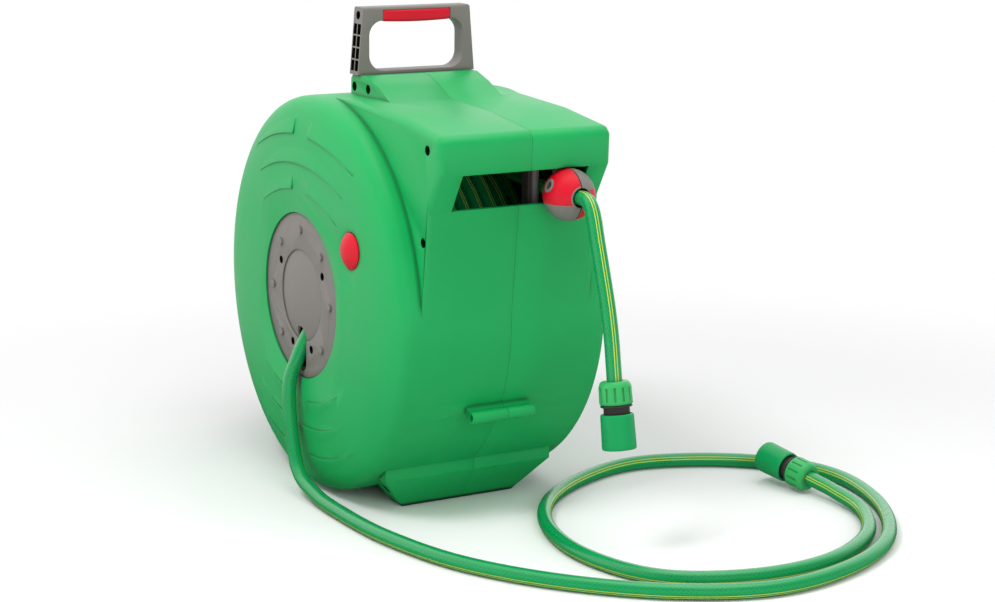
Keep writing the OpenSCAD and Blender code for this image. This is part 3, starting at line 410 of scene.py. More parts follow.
class Effects:
    """Shader node groups that the finishes share."""

    def __init__(self) -> None:
        """Builds each group once."""
        self.grain = self._grain()
        self.edge_highlight = self._edge_highlight()
        self.crease_shade = self._painted_crease_shade()
        self.braid = self._braid()

    @staticmethod
    def _group(
        name: str, inputs: dict[str, Any], outputs: Sequence[str]
    ) -> tuple[Graph, Any, bpy.types.Node]:
        """Makes a group with named sockets.

        Args:
            name: name of the group.
            inputs: each input's value; a tuple is a colour.
            outputs: names of the outputs; one called Color is a colour.

        Returns:
            The group's graph, the sockets that come in and the node that they leave by.
        """
        tree = bpy.data.node_groups.new(name, "ShaderNodeTree")
        for label, value in inputs.items():
            kind = "NodeSocketColor" if isinstance(value, tuple) else "NodeSocketFloat"
            tree.interface.new_socket(label, in_out="INPUT", socket_type=kind).default_value = value
        for label in outputs:
            kind = "NodeSocketColor" if label == "Color" else "NodeSocketFloat"
            tree.interface.new_socket(label, in_out="OUTPUT", socket_type=kind)
        graph = Graph(tree)
        return graph, graph.add("NodeGroupInput").outputs, graph.add("NodeGroupOutput")

    def _grain(self) -> bpy.types.NodeTree:
        """Fine spark-eroded grain of moulded plastic, with slow drifts of tone and gloss.

        Returns:
            The group.
        """
        values = {"Color": (0.5, 0.5, 0.5, 1), "Roughness": 0.5, "Grain": 900.0, "Tone": 0.05}
        g, entry, leave = self._group("moulded_grain", values, ("Color", "Roughness", "Height"))
        place = g.place()
        fine = g.noise(place, entry["Grain"], 2.0)
        drift = g.sum("SUBTRACT", g.noise(place, 14.0, 4.0, 0.55), 0.5)
        value = g.sum("ADD", g.sum("MULTIPLY", g.sum("MULTIPLY", drift, entry["Tone"]), 2.0), 1.0)
        toned = g.add("ShaderNodeHueSaturation", {"Value": value, "Color": entry["Color"]})
        speck = g.sum("MULTIPLY", g.sum("SUBTRACT", fine, 0.5), 0.16)
        gloss = g.sum("ADD", entry["Roughness"], g.sum("MULTIPLY", drift, 0.2))
        gloss = g.sum("ADD", gloss, speck, True)
        g.fill(leave, {"Color": toned.outputs[0], "Roughness": gloss, "Height": fine})
        return g.tree

    def _edge_highlight(self) -> bpy.types.NodeTree:
        """Painted highlight on sharp edges: a mask where the surface turns sharply, broken up by noise.

        Returns:
            The group.
        """
        g, entry, leave = self._group("painted_edge_highlight", {"Width": 1.2 * MM, "Amount": 0.3}, ("Mask",))
        rounded = g.add("ShaderNodeBevel", {"Radius": entry["Width"]}, samples=4).outputs[0]
        true = g.add("ShaderNodeNewGeometry").outputs["Normal"]
        turn = g.add("ShaderNodeVectorMath", {0: rounded, 1: true}, operation="DOT_PRODUCT").outputs["Value"]
        sharp = g.sum("MULTIPLY", g.sum("SUBTRACT", 1.0, turn), 5.0, True)
        broken = g.sum("MULTIPLY", sharp, g.noise(g.place(), 60.0, 4.0))
        g.fill(leave, {"Mask": g.sum("MULTIPLY", broken, entry["Amount"], True)})
        return g.tree

    def _painted_crease_shade(self) -> bpy.types.NodeTree:
        """Painted shade: an occlusion mask in narrow corners and along steps, broken up by noise.

        Returns:
            The group.
        """
        g, entry, leave = self._group("painted_crease_shade", {"Reach": 5 * MM, "Amount": 0.8}, ("Mask",))
        bare = g.add("ShaderNodeAmbientOcclusion", {"Distance": entry["Reach"]}, samples=8).outputs["AO"]
        patch = g.sum("ADD", g.sum("MULTIPLY", g.noise(g.place(), 90.0, 3.0), 0.5), 1.1)
        broken = g.sum("MULTIPLY", g.sum("SUBTRACT", 1.0, bare), patch)
        g.fill(leave, {"Mask": g.sum("MULTIPLY", broken, entry["Amount"], True)})
        return g.tree

    def _braid(self) -> bpy.types.NodeTree:
        """Yarn mesh under a hose's clear skin, and its stripes, along the hose's own UV map.

        Returns:
            The group.
        """
        values = {"Threads": 10.0, "Stripe Place": 0.56, "Stripe Width": 0.02}
        g, entry, leave = self._group("hose_braid", values, ("Yarn", "Stripe", "Band"))
        flat = g.add("ShaderNodeUVMap", uv_map="hose_uv").outputs[0]
        at = g.add("ShaderNodeSeparateXYZ", {0: flat}).outputs
        turn = 2 * math.pi
        yarns = []
        for sign in (1.0, -1.0):
            run = g.sum("ADD", at[0], g.sum("MULTIPLY", at[1], sign))
            wave = g.sum("SINE", g.sum("MULTIPLY", g.sum("MULTIPLY", run, entry["Threads"]), turn))
            yarns.append(g.sum("POWER", g.sum("MAXIMUM", wave, 0.0), 3.0))
        half = g.sum("FRACT", g.sum("MULTIPLY", at[0], 2.0))
        lines = []
        for offset in (-0.055, 0.055):
            place = g.sum("ADD", entry["Stripe Place"], offset)
            away = g.sum("ABSOLUTE", g.sum("SUBTRACT", half, place))
            lines.append(g.sum("LESS_THAN", away, entry["Stripe Width"]))
        bands = g.sum("ADD", g.sum("SINE", g.sum("MULTIPLY", at[0], turn * 7)), 1.0)
        g.fill(
            leave,
            {
                "Yarn": g.sum("MAXIMUM", yarns[0], yarns[1]),
                "Stripe": g.sum("MAXIMUM", lines[0], lines[1]),
                "Band": g.sum("MULTIPLY", bands, 0.5),
            },
        )
        return g.tree


@dataclass(frozen=True)
class Plastic:
    """A moulded plastic or rubber finish."""

    name: str
    colour: tuple[int, int, int]
    slot: Slot
    roughness: float = 0.5
    grain: float = 1100.0
    relief: float = 0.25
    tone: float = 0.06
    # painted highlight along sharp edges: how strong it is
    edge_highlight: float = 0.35
    specular: float = 0.5
    # painted shade in corners and along steps: how strong it is
    crease_shade: float = 0.8
    # painted highlight along sharp edges: how far it pales and lifts the colour
    highlight_gain: float = 1.5
    lift: float = 0.06
    # painted shade in corners and along steps: how dark it makes the colour
    shade_share: float = 0.12

    def material(self, effects: Effects) -> bpy.types.Material:
        """Builds the finish.

        Args:
            effects: the shared node groups.

        Returns:
            The material.
        """
        material, g, shader = Graph.material(self.name)
        base = linear(*self.colour)
        # pale is the colour of the painted highlight on sharp edges; shade is the colour of the painted shade
        # in corners
        pale = (*(min(1.0, c * self.highlight_gain + self.lift) for c in base[:3]), 1.0)
        shade = (*(c * self.shade_share for c in base[:3]), 1.0)
        look = {"Color": base, "Roughness": self.roughness, "Grain": self.grain, "Tone": self.tone}
        grain = g.group(effects.grain, look)
        # painted highlight: sharp edges pale towards that colour
        highlighted = g.mix(g.group(effects.edge_highlight, {"Amount": self.edge_highlight})["Mask"], grain["Color"], pale)
        # painted shade: the occlusion mask darkens the colour in corners and along steps
        colour = g.mix(g.group(effects.crease_shade, {"Amount": self.crease_shade})["Mask"], highlighted, shade)
        relief = {"Strength": self.relief, "Distance": 0.1 * MM, "Height": grain["Height"]}
        finish = {"Base Color": colour, "Roughness": grain["Roughness"], "Specular IOR Level": self.specular}
        g.fill(shader, {**finish, "Normal": g.add("ShaderNodeBump", relief).outputs[0]})
        return material


@dataclass(frozen=True)
class Metal:
    """A zinc plated or sprung steel finish with fine drawing marks."""

    name: str
    colour: tuple[int, int, int]
    slot: Slot
    roughness: float = 0.3

    def material(self, effects: Effects) -> bpy.types.Material:
        """Builds the finish from the shared grain, on a metallic shader.

        Args:
            effects: the shared node groups.

        Returns:
            The material.
        """
        material, g, shader = Graph.material(self.name)
        look = {"Color": linear(*self.colour), "Roughness": self.roughness, "Grain": 2400.0, "Tone": 0.12}
        grain = g.group(effects.grain, look)
        relief = {"Strength": 0.15, "Distance": 0.05 * MM, "Height": grain["Height"]}
        finish = {"Base Color": grain["Color"], "Roughness": grain["Roughness"], "Metallic": 1.0}
        g.fill(shader, {**finish, "Normal": g.add("ShaderNodeBump", relief).outputs[0]})
        return material


@dataclass(frozen=True)
class HoseSkin:
    """Soft clear skin over a yarn mesh, with thin yellow stripes."""

    name: str = "hose_skin"
    slot: Slot = Slot.HOSE
    colour: tuple[int, int, int] = (0, 146, 72)
    deep: tuple[int, int, int] = (0, 128, 70)
    yarn: tuple[int, int, int] = (40, 172, 108)
    stripe: tuple[int, int, int] = (196, 206, 66)
    yarn_share: float = 0.32
    stripe_share: float = 0.85

    def material(self, effects: Effects) -> bpy.types.Material:
        """Builds the finish from the shared braid and grain groups.

        Args:
            effects: the shared node groups.

        Returns:
            The material.
        """
        material, g, shader = Graph.material(self.name)
        braid = g.group(effects.braid, {})
        banded = g.mix(braid["Band"], linear(*self.colour), linear(*self.deep))
        woven = g.mix(g.sum("MULTIPLY", braid["Yarn"], self.yarn_share), banded, linear(*self.yarn))
        lined = g.mix(g.sum("MULTIPLY", braid["Stripe"], self.stripe_share), woven, linear(*self.stripe))
        grain = g.group(effects.grain, {"Color": lined, "Roughness": 0.3, "Grain": 700.0})
        relief = {"Strength": 0.2, "Distance": 0.15 * MM, "Height": braid["Yarn"]}
        finish = {"Base Color": grain["Color"], "Roughness": grain["Roughness"]}
        coat = {"Coat Weight": 0.15, "Coat Roughness": 0.18}
        g.fill(shader, {**finish, **coat, "Normal": g.add("ShaderNodeBump", relief).outputs[0]})
        return material


class Finish(Enum):
    """The object's finishes."""

    SHELL = Plastic("casing_green", (0, 158, 80), Slot.SHELL, 0.48, 1000.0, 0.3, crease_shade=1.3)
    # Painted shade: near-black finishes for faces inside screw holes, the handle's cells and the casing
    # seam's groove
    DEEP = Plastic("painted_shade_green", (0, 34, 16), Slot.SHELL, 0.7, relief=0.1, edge_highlight=0.0, specular=0.1)
    BLACK = Plastic("painted_shade_grey", (22, 20, 19), Slot.GREY, 0.7, relief=0.1, edge_highlight=0.0, specular=0.1)
    DRUM = Plastic("drum_green", (2, 120, 66), Slot.SHELL, 0.5)
    TUBE = Plastic("pivot_green", (4, 160, 84), Slot.SHELL, 0.4, relief=0.12)
    GREY = Plastic("warm_grey", (116, 112, 107), Slot.GREY, 0.52, 1000.0, 0.3)
    RED = Plastic("signal_red", (200, 6, 34), Slot.RED, 0.45, relief=0.15, specular=0.35)
    SLEEVE = Plastic("sleeve_green", (0, 146, 78), Slot.SHELL, 0.42, relief=0.12, specular=0.35)
    NUT = Plastic("nut_green", (44, 164, 86), Slot.PALE, 0.38, relief=0.12)
    DARK = Plastic("dark_grey", (58, 52, 50), Slot.DARK, 0.48)
    WHITE = Plastic("bush_white", (214, 206, 192), Slot.WHITE, 0.35, relief=0.1)
    RUBBER = Plastic("seal_rubber", (24, 24, 25), Slot.SEAL, 0.6, relief=0.1, edge_highlight=0.0)
    STEEL = Metal("plated_steel", (196, 198, 202), Slot.STEEL)
    HOSE = HoseSkin()


class Paint:
    """Builds each finish once and puts it on pieces."""

    def __init__(self) -> None:
        """Builds the shared effects."""
        self.effects = Effects()
        self.made: dict[Finish, bpy.types.Material] = {}

    def of(self, finish: Finish) -> bpy.types.Material:
        """Builds a finish the first time it is asked for.

        Args:
            finish: one of the object's finishes.

        Returns:
            Its material.
        """
        if finish not in self.made:
            self.made[finish] = finish.value.material(self.effects)
        return self.made[finish]

    def dress(self, piece: bpy.types.Object, *finishes: Finish) -> None:
        """Gives a piece its material slots, one for each finish.

        Args:
            piece: a new piece or a CAD node.
            *finishes: one finish for each material slot.
        """
        piece.data.materials.clear()
        for finish in finishes:
            piece.data.materials.append(self.of(finish))


def ride(piece: bpy.types.Object, body: Body) -> None:
    """Sets a piece on its body and reports it."""
    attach(piece, body.value)
    LOG.info("%s on %s, %d faces", piece.name, body.value, len(piece.data.polygons))


class Route:
    """A smooth line through points, as the CAD source draws it."""

    def __init__(self, points: Sequence[Triple], steps: int) -> None:
        """Smooths the points.

        Args:
            points: places in millimetres.
            steps: pieces between two points; 1 keeps the points as they are.
        """
        places = [Vector(p) * MM for p in points]
        padded = [places[0], *places, places[-1]]
        spans = zip(padded, padded[1:], padded[2:], padded[3:])
        self.line = [self._between(*four, s / steps) for four in spans for s in range(steps)]
        self.line.append(places[-1])

    @staticmethod
    def _between(a: Vector, b: Vector, c: Vector, d: Vector, t: float) -> Vector:
        """A point between b and c on the curve through a, b, c and d."""
        return (2 * b + (c - a) * t + (2 * a - 5 * b + 4 * c - d) * t**2 + (3 * b - a - 3 * c + d) * t**3) / 2

    def run_on(self, distance: float) -> None:
        """Carries the line straight on."""
        self.line.append(self.line[-1] + (self.line[-1] - self.line[-2]).normalized() * distance)

    @property
    def length(self) -> float:
        """Length of the line."""
        return sum((b - a).length for a, b in zip(self.line, self.line[1:]))

    def tube(self, name: str, radius: float, sides: int, first: Triple) -> bpy.types.Object:
        """Sweeps a closed round tube with a UV map round and along it.

        Args:
            name: name of the piece.
            radius: radius of the tube.
            sides: faces round it.
            first: direction of the UV map's edge at the start.

        Returns:
            The new piece.
        """
        count = len(self.line)
        side = Vector(first)
        points: list[Vector] = []
        along, lengths = 0.0, []
        for i, centre in enumerate(self.line):
            ahead = (self.line[min(i + 1, count - 1)] - self.line[max(i - 1, 0)]).normalized()
            side = (side - side.dot(ahead) * ahead).normalized()
            over = ahead.cross(side)
            for k in range(sides):
                angle = 2 * math.pi * k / sides
                points.append(centre + radius * (math.cos(angle) * side + math.sin(angle) * over))
            along += (centre - self.line[i - 1]).length if i else 0.0
            lengths.append(along / (2 * math.pi * radius))
        faces = []
        for i in range(0, (count - 1) * sides, sides):
            for k in range(sides):
                after = (k + 1) % sides
                faces.append((i + k, i + after, i + sides + after, i + sides + k))
        caps = [tuple(range(sides - 1, -1, -1)), tuple(range((count - 1) * sides, count * sides))]
        mesh = bpy.data.meshes.new(name)
        mesh.from_pydata(points, [], faces + caps)
        uv = mesh.uv_layers.new(name="hose_uv")
        for f, face in enumerate(mesh.polygons[: len(faces)]):
            i, k = divmod(f, sides)
            corners = ((k, i), (k + 1, i), (k + 1, i + 1), (k, i + 1))
            for loop, (round_it, ring) in zip(face.loop_indices, corners):
                uv.data[loop].uv = (round_it / sides, lengths[ring])
        piece = bpy.data.objects.new(name, mesh)
        bpy.context.scene.collection.objects.link(piece)
        Bench.smooth(piece, 50)
        return piece


@dataclass
class Studio:
    """Camera at the photograph's angle, pale floor and soft studio light."""

    place: Triple = (-1.08076, -2.35636, 0.52934)
    azimuth: float = -29.87
    elevation: float = 12.5
    roll: float = 0.62
    lens: float = 79.6
    floor_z: float = -0.1822
    ambient: float = 0.44
    middle: Triple = (0.05, -0.4, 0.05)
    sensor: float = 36.0
    floor_size: float = 30.0
    glow_middle: Triple = (0.1, -0.5, 0.0)
    glow_span: tuple[float, float] = (0.5, 1.2)
    lamps: tuple[tuple[str, Triple, float, float], ...] = (
        ("key_light", (-1.5, -0.8, 2.3), 0.8, 34),
        ("side_light", (-2.4, -0.5, 0.8), 1.6, 11),
        ("top_light", (0.3, -0.9, 2.4), 2.2, 24),
        ("fill_light", (2.2, -1.8, 0.9), 1.8, 9),
        ("front_light", (-0.4, -2.8, 0.7), 1.4, 20),
    )
    mirrored: str = "top_light"

    def camera(self) -> None:
        """Makes the camera and sets it as the scene's."""
        turn, lift, roll = (math.radians(x) for x in (self.azimuth, self.elevation, self.roll))
        right = Vector((math.cos(turn), math.sin(turn), 0))
        back = Vector((math.sin(turn) * math.cos(lift), -math.cos(turn) * math.cos(lift), math.sin(lift)))
        up = back.cross(right)
        right, up = math.cos(roll) * right + math.sin(roll) * up, math.cos(roll) * up - math.sin(roll) * right
        camera = bpy.data.objects.new("photo_camera", bpy.data.cameras.new("photo_camera"))
        camera.data.lens = self.lens
        camera.data.sensor_width = self.sensor
        camera.data.sensor_fit = "HORIZONTAL"
        camera.data.clip_start, camera.data.clip_end = 0.05, 60
        facing = Matrix((right, up, back)).transposed()
        camera.matrix_world = Matrix.LocRotScale(Vector(self.place), facing, None)
        bpy.context.scene.collection.objects.link(camera)
        bpy.context.scene.camera = camera

    def lamp(self, name: str, place: Triple, size: float, watts: float) -> None:
        """Adds one square soft light that faces the object.

        Args:
            name: name of the light.
            place: where it stands.
            size: length of its side.
            watts: its power.
        """
        light = bpy.data.lights.new(name, "AREA")
        light.size = size
        light.energy = watts
        lamp = bpy.data.objects.new(name, light)
        lamp.location = place
        lamp.rotation_euler = (Vector(self.middle) - Vector(place)).to_track_quat("-Z", "Y").to_euler()
        lamp.visible_glossy = name == self.mirrored
        bpy.context.scene.collection.objects.link(lamp)

    def floor(self) -> None:
        """Lays the pale floor, which keeps the object's shadow."""
        bpy.ops.object.select_all(action="DESELECT")
        bpy.ops.mesh.primitive_plane_add(size=self.floor_size, location=(0, 0, self.floor_z))
        floor = bpy.context.active_object
        floor.name = "studio_floor"
        material, g, shader = Graph.material("studio_floor")
        mottle = g.add("ShaderNodeTexNoise", {"Scale": 3.0}).outputs[0]
        path = g.add("ShaderNodeLightPath").outputs
        pale = g.mix(mottle, (0.88, 0.88, 0.88, 1), (0.92, 0.92, 0.92, 1))
        colour = g.mix(path["Is Glossy Ray"], pale, (0.12, 0.12, 0.12, 1))
        g.fill(shader, {"Base Color": colour, "Roughness": 0.85, "Specular IOR Level": 0.1})
        ends = {0: g.place(), 1: self.glow_middle}
        away = g.add("ShaderNodeVectorMath", ends, operation="DISTANCE").outputs["Value"]
        span = {"Value": away, "From Min": self.glow_span[0], "From Max": self.glow_span[1]}
        far = g.add("ShaderNodeMapRange", span, interpolation_type="SMOOTHSTEP").outputs[0]
        seen = g.sum("MULTIPLY", far, g.sum("MAXIMUM", path["Is Camera Ray"], path["Is Glossy Ray"]))
        glow = g.add("ShaderNodeEmission", {"Color": (1, 1, 1, 1), "Strength": 1.0})
        both = g.add("ShaderNodeMixShader", {0: seen, 1: shader.outputs[0], 2: glow.outputs[0]})
        g.fill(g.tree.nodes["Material Output"], {"Surface": both.outputs[0]})
        floor.data.materials.append(material)

    def sky(self) -> None:
        """Makes the world white to the camera, pale to reflections from behind, and dimmer as a light."""
        world = bpy.data.worlds.new("studio_world")
        world.use_nodes = True
        bpy.context.scene.world = world
        g = Graph(world.node_tree)
        path = g.add("ShaderNodeLightPath").outputs
        seen = g.sum("MAXIMUM", path["Is Camera Ray"], path["Is Transmission Ray"])
        way = g.add("ShaderNodeSeparateXYZ", {0: g.add("ShaderNodeTexCoord").outputs["Generated"]}).outputs
        back = {"Value": way["Y"], "From Min": -0.4, "From Max": 0.5, "To Min": 0.1, "To Max": 1.0}
        rise = {"Value": way["Z"], "From Min": -0.1, "From Max": 0.5, "To Min": 1.2, "To Max": 1.9}
        behind, above = (g.add("ShaderNodeMapRange", span).outputs[0] for span in (back, rise))
        gloss = path["Is Glossy Ray"]
        tent = g.sum("MULTIPLY", g.sum("MULTIPLY", behind, above), gloss)
        soft = g.sum("MULTIPLY", g.sum("SUBTRACT", 1.0, gloss), self.ambient)
        strength = g.sum("MAXIMUM", seen, g.sum("ADD", tent, soft))
        g.fill(g.tree.nodes["Background"], {"Color": (1, 1, 1, 1), "Strength": strength})

    def build(self) -> None:
        """Builds floor, world and lamps, and sets the plain view transform."""
        self.floor()
        self.sky()
        for lamp in self.lamps:
            self.lamp(*lamp)
        bpy.context.scene.view_settings.view_transform = "Standard"


@dataclass
class Hoses:
    """The free hoses, the hose inside the visor, and the winding on the drum."""

    radius: float = 7.6
    axis: Triple = (0.0, -285.0, 30.0)
    ball: Triple = (48.0, -245.417, 132.232)
    layer_radius: float = 151.7
    pitch: float = 16.0
    turns: float = 8.2
    low_layer_radius: float = 135.9
    low_layer_turns: float = 10.4
    outlet_ahead: Triple = (0.0, -0.17579, -0.98443)
    supply_ahead: Triple = (-0.1618, 0.97757, 0.13484)
    outlet_steps: tuple[Triple, ...] = (
        (0, 0, 0), (0, -4, 0), (0, -10, -2), (0, -16, -8), (0, -21, -18), (0, -27, -36), (0, -37, -64),
        (0, -48, -96), (0, -56, -126), (0, -61, -154),
    )  # fmt: skip
    supply_drop: tuple[Triple, ...] = ((-112, 0, -22), (-121, 0, -40), (-134.5, 0, -66), (-144, 3, -105))
    supply_loop: tuple[Triple, ...] = (
        (-144, -15, 32), (-144, -60, 12), (-143, -125, 8), (-136, -215, 8), (-108, -315, 8), (-50, -405, 8),
        (30, -477, 8), (120, -513, 8), (215, -500, 8), (300, -452, 8), (362, -370, 8), (392, -275, 8),
        (376, -205, 8), (315, -145, 8), (225, -112, 8), (140, -134, 8), (65, -188, 8), (20, -265, 8),
        (9, -355, 8), (40, -437, 8), (120, -477, 8), (210, -475, 8), (290, -432, 8), (336, -370, 9),
        (344, -315, 13), (342, -290, 16),
    )  # fmt: skip
    ball_front: float = 26.6
    ball_radius: float = 26.2
    floor_z: float = -182.0
    nut_reach: float = 15.5
    turn_steps: int = 48
    guide_reach: float = 200.0
    guide_half: float = 12.0
    lead_gap: float = 0.5
    lead_straight: float = 31.0
    lead_bend: float = 0.75

    def __post_init__(self) -> None:
        """Draws the routes."""
        axis, ball = Vector(self.axis), Vector(self.ball)
        front = axis + ball - Vector((0, self.ball_front, 0))
        ground = Vector((axis.x, axis.y, self.floor_z))
        drop = [tuple(axis + Vector(p)) for p in self.supply_drop]
        loop = [tuple(ground + Vector(p)) for p in self.supply_loop]
        self.outlet = Route([tuple(front + Vector(p)) for p in self.outlet_steps], 6)
        self.supply = Route(drop + loop, 8)
        for route in (self.outlet, self.supply):
            route.run_on(self.nut_reach * MM)
        reach = math.hypot(self.ball[1], self.ball[2])
        self.end_angle = math.atan2(self.ball[2], -self.ball[1]) + math.acos(self.layer_radius / reach)

    def wind(self, radius: float, start_x: float, turns: float, sign: int) -> list[Triple]:
        """Points of one layer of turns on the drum.

        Args:
            radius: radius of the layer's middle line.
            start_x: where the layer starts across the drum.
            turns: how many turns it has.
            sign: 1 to lay towards +X and -1 to lay towards -X.

        Returns:
            Places in millimetres; the layer ends at the top, heading for the slot.
        """
        count = round(turns * self.turn_steps)
        _, y, z = self.axis
        points = []
        for i in range(count + 1):
            angle = self.end_angle + 2 * math.pi * turns * (1 - i / count)
            x = start_x + sign * self.pitch * turns * i / count
            points.append((x, y - radius * math.cos(angle), z + radius * math.sin(angle)))
        return points

    def free(self, paint: Paint) -> None:
        """Makes the two free hoses as tubes on their CAD routes.

        Args:
            paint: the finishes.
        """
        self.outlet_piece = self.outlet.tube("outlet_hose_skin", self.radius * MM, 24, (1, 0, 0))
        self.supply_piece = self.supply.tube("supply_hose_skin", self.radius * MM, 24, (0.32, 0.94, 0))
        for piece, node, body in (
            (self.outlet_piece, "outlet_hose", Body.GUIDE),
            (self.supply_piece, "supply_hose", Body.REEL),
        ):
            paint.dress(piece, Finish.HOSE)
            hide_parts(node)
            ride(piece, body)

    def declare(self, outlet_pieces: list[bpy.types.Object], supply_pieces: list[bpy.types.Object]) -> None:
        """Args:
            outlet_pieces: what hangs on the outlet hose; not used.
            supply_pieces: what lies on the supply hose; not used.
        """
        for piece, route, pieces, lay in (
            (self.outlet_piece, self.outlet, outlet_pieces, "hanging"),
            (self.supply_piece, self.supply, supply_pieces, "loose"),
        ):
            route.length

    def inside(self, paint: Paint) -> None:
        """Makes the winding's two layers, and the hose between drum and ball.

        Args:
            paint: the finishes.
        """
        start_x = self.ball[0] - self.pitch * self.turns
        outer = self.wind(self.layer_radius, start_x, self.turns, 1)
        winding = Route(outer, 1).tube("outer_winding", self.radius * MM, 16, (1, 0, 0))
        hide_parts("wound_hose")
        low_x = start_x + self.pitch * self.low_layer_turns
        inner = self.wind(self.low_layer_radius, low_x, self.low_layer_turns, -1)
        lower = Route(inner, 1).tube("lower_winding", self.radius * MM, 12, (1, 0, 0))
        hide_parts("winding_core")
        for piece in (winding, lower):
            paint.dress(piece, Finish.HOSE)
            ride(piece, Body.DRUM)
        top = Vector(outer[-1])
        ahead = Vector((0, -math.sin(self.end_angle), -math.cos(self.end_angle)))
        ball = Vector(self.ball) + Vector(self.axis)
        guide = Vector((ball.x, self.axis[1] - self.guide_reach, ball.z))
        half, front = Vector((0, self.guide_half, 0)), Vector((0, self.ball_radius, 0))
        start, stop = top + ahead * self.lead_gap, guide + half
        line = [start, start + ahead * self.lead_straight, start.lerp(stop, self.lead_bend)]
        line += [stop, guide - half, ball - front]
        lead = Route([tuple(p) for p in line], 6).tube("lead_hose_skin", self.radius * MM, 24, (1, 0, 0))
        paint.dress(lead, Finish.HOSE)
        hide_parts("inner_hose")
        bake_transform(lead)
        LOG.info("lead_hose_skin bends between reel and hose_guide")


@dataclass
class Coupling:
    """One quick coupling: fluted nut, flanged collar and sliding sleeve, from the hose's end on."""

    prefix: str
    end: Vector
    ahead: Vector
    body: Body
    sleeve_body: Body
    nut: tuple[tuple[float, float], ...] = (
        (8.0, 0.2), (12.6, 0.0), (14.4, 1.2), (15.6, 4.0), (16.2, 5.6), (16.4, 19.6), (16.3, 21.8),
        (15.4, 22.9), (11.0, 22.9), (8.1, 22.4),
    )  # fmt: skip
    collar: tuple[tuple[float, float], ...] = (
        (10.2, 23.2), (14.9, 23.3), (15.8, 23.9), (15.8, 24.7), (15.0, 25.3), (12.9, 25.7),
        (12.9, 43.6), (10.2, 43.8),
    )  # fmt: skip
    sleeve: tuple[tuple[float, float], ...] = (
        (13.1, 33.2), (13.9, 32.2), (15.2, 32.0), (16.2, 32.7), (16.5, 34.2), (16.6, 42.0), (16.75, 50.0),
        (16.9, 58.0), (17.0, 63.0), (16.9, 65.6), (16.4, 66.8), (15.4, 67.0), (14.3, 66.7), (13.3, 65.0),
        (13.05, 60.0),
    )  # fmt: skip
    grip_radius: float = 15.0
    flutes: int = 12
    flute_share: float = 0.25
    flute_span: tuple[float, float] = (7.0, 19.0)
    flute_rim: float = 0.35
    flute_depth: float = 1.1
    panel_span: tuple[float, float] = (43.0, 62.0)
    panel_spread: float = 2.2
    panel_gap: float = 0.5
    panel_rim: float = 0.3
    panel_rise: float = 0.25

    def in_flute(self, c: Vector, n: Vector) -> bool:
        """Whether a face of the nut becomes a flute.

        Args:
            c: the face's centre.
            n: its normal; not used.

        Returns:
            True for a flute.
        """
        low, high = self.flute_span
        step = 2 * math.pi / self.flutes
        outside = low * MM < c.z < high * MM and c.to_2d().length > self.grip_radius * MM
        return outside and math.atan2(c.y, c.x) % step < step * self.flute_share

    def in_panel(self, c: Vector, n: Vector) -> bool:
        """Whether a face of the sleeve becomes part of its raised grip panels.

        Args:
            c: the face's centre.
            n: its normal; not used.

        Returns:
            True for a panel.
        """
        low, high = self.panel_span
        outside = low * MM < c.z < high * MM and c.to_2d().length > self.grip_radius * MM
        return outside and abs(c.x) > abs(c.y) * self.panel_spread

    def place(self, piece: bpy.types.Object) -> None:
        """Moves a piece's mesh from the Z axis to the hose's end."""
        turn = Vector((0, 0, 1)).rotation_difference(self.ahead).to_matrix().to_4x4()
        piece.data.transform(Matrix.Translation(self.end) @ turn)

    def build(self, paint: Paint) -> list[bpy.types.Object]:
        """Builds the coupling's three pieces.

        Args:
            paint: the finishes.

        Returns:
            Nut, collar and sleeve.
        """
        nut = Bench.lathe(f"{self.prefix}_fluted_nut", self.nut)
        Bench.choose_faces(nut, self.in_flute)
        bpy.ops.mesh.inset(thickness=self.flute_rim * MM, depth=-self.flute_depth * MM, use_even_offset=True)
        Bench.leave()
        collar = Bench.lathe(f"{self.prefix}_flanged_collar", self.collar)
        sleeve = Bench.lathe(f"{self.prefix}_grip_sleeve", self.sleeve)
        Bench.choose_faces(sleeve, self.in_panel)
        bpy.ops.mesh.inset(thickness=self.panel_gap * MM, depth=0.0, use_individual=True)
        bpy.ops.mesh.inset(thickness=self.panel_rim * MM, depth=self.panel_rise * MM, use_individual=True)
        Bench.leave()
        pieces = [nut, collar, sleeve]
        bodies = (self.body, self.body, self.sleeve_body)
        nodes = ("nut", "collar", "sleeve")
        finishes = (Finish.NUT, Finish.DARK, Finish.SLEEVE)
        for piece, body, node, finish in zip(pieces, bodies, nodes, finishes):
            Bench.round_edges(piece, 0.2 * MM, 1, 40)
            Bench.smooth(piece, 40)
            self.place(piece)
            paint.dress(piece, finish)
            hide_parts(f"{self.prefix}_{node}")
            ride(piece, body)
        return pieces


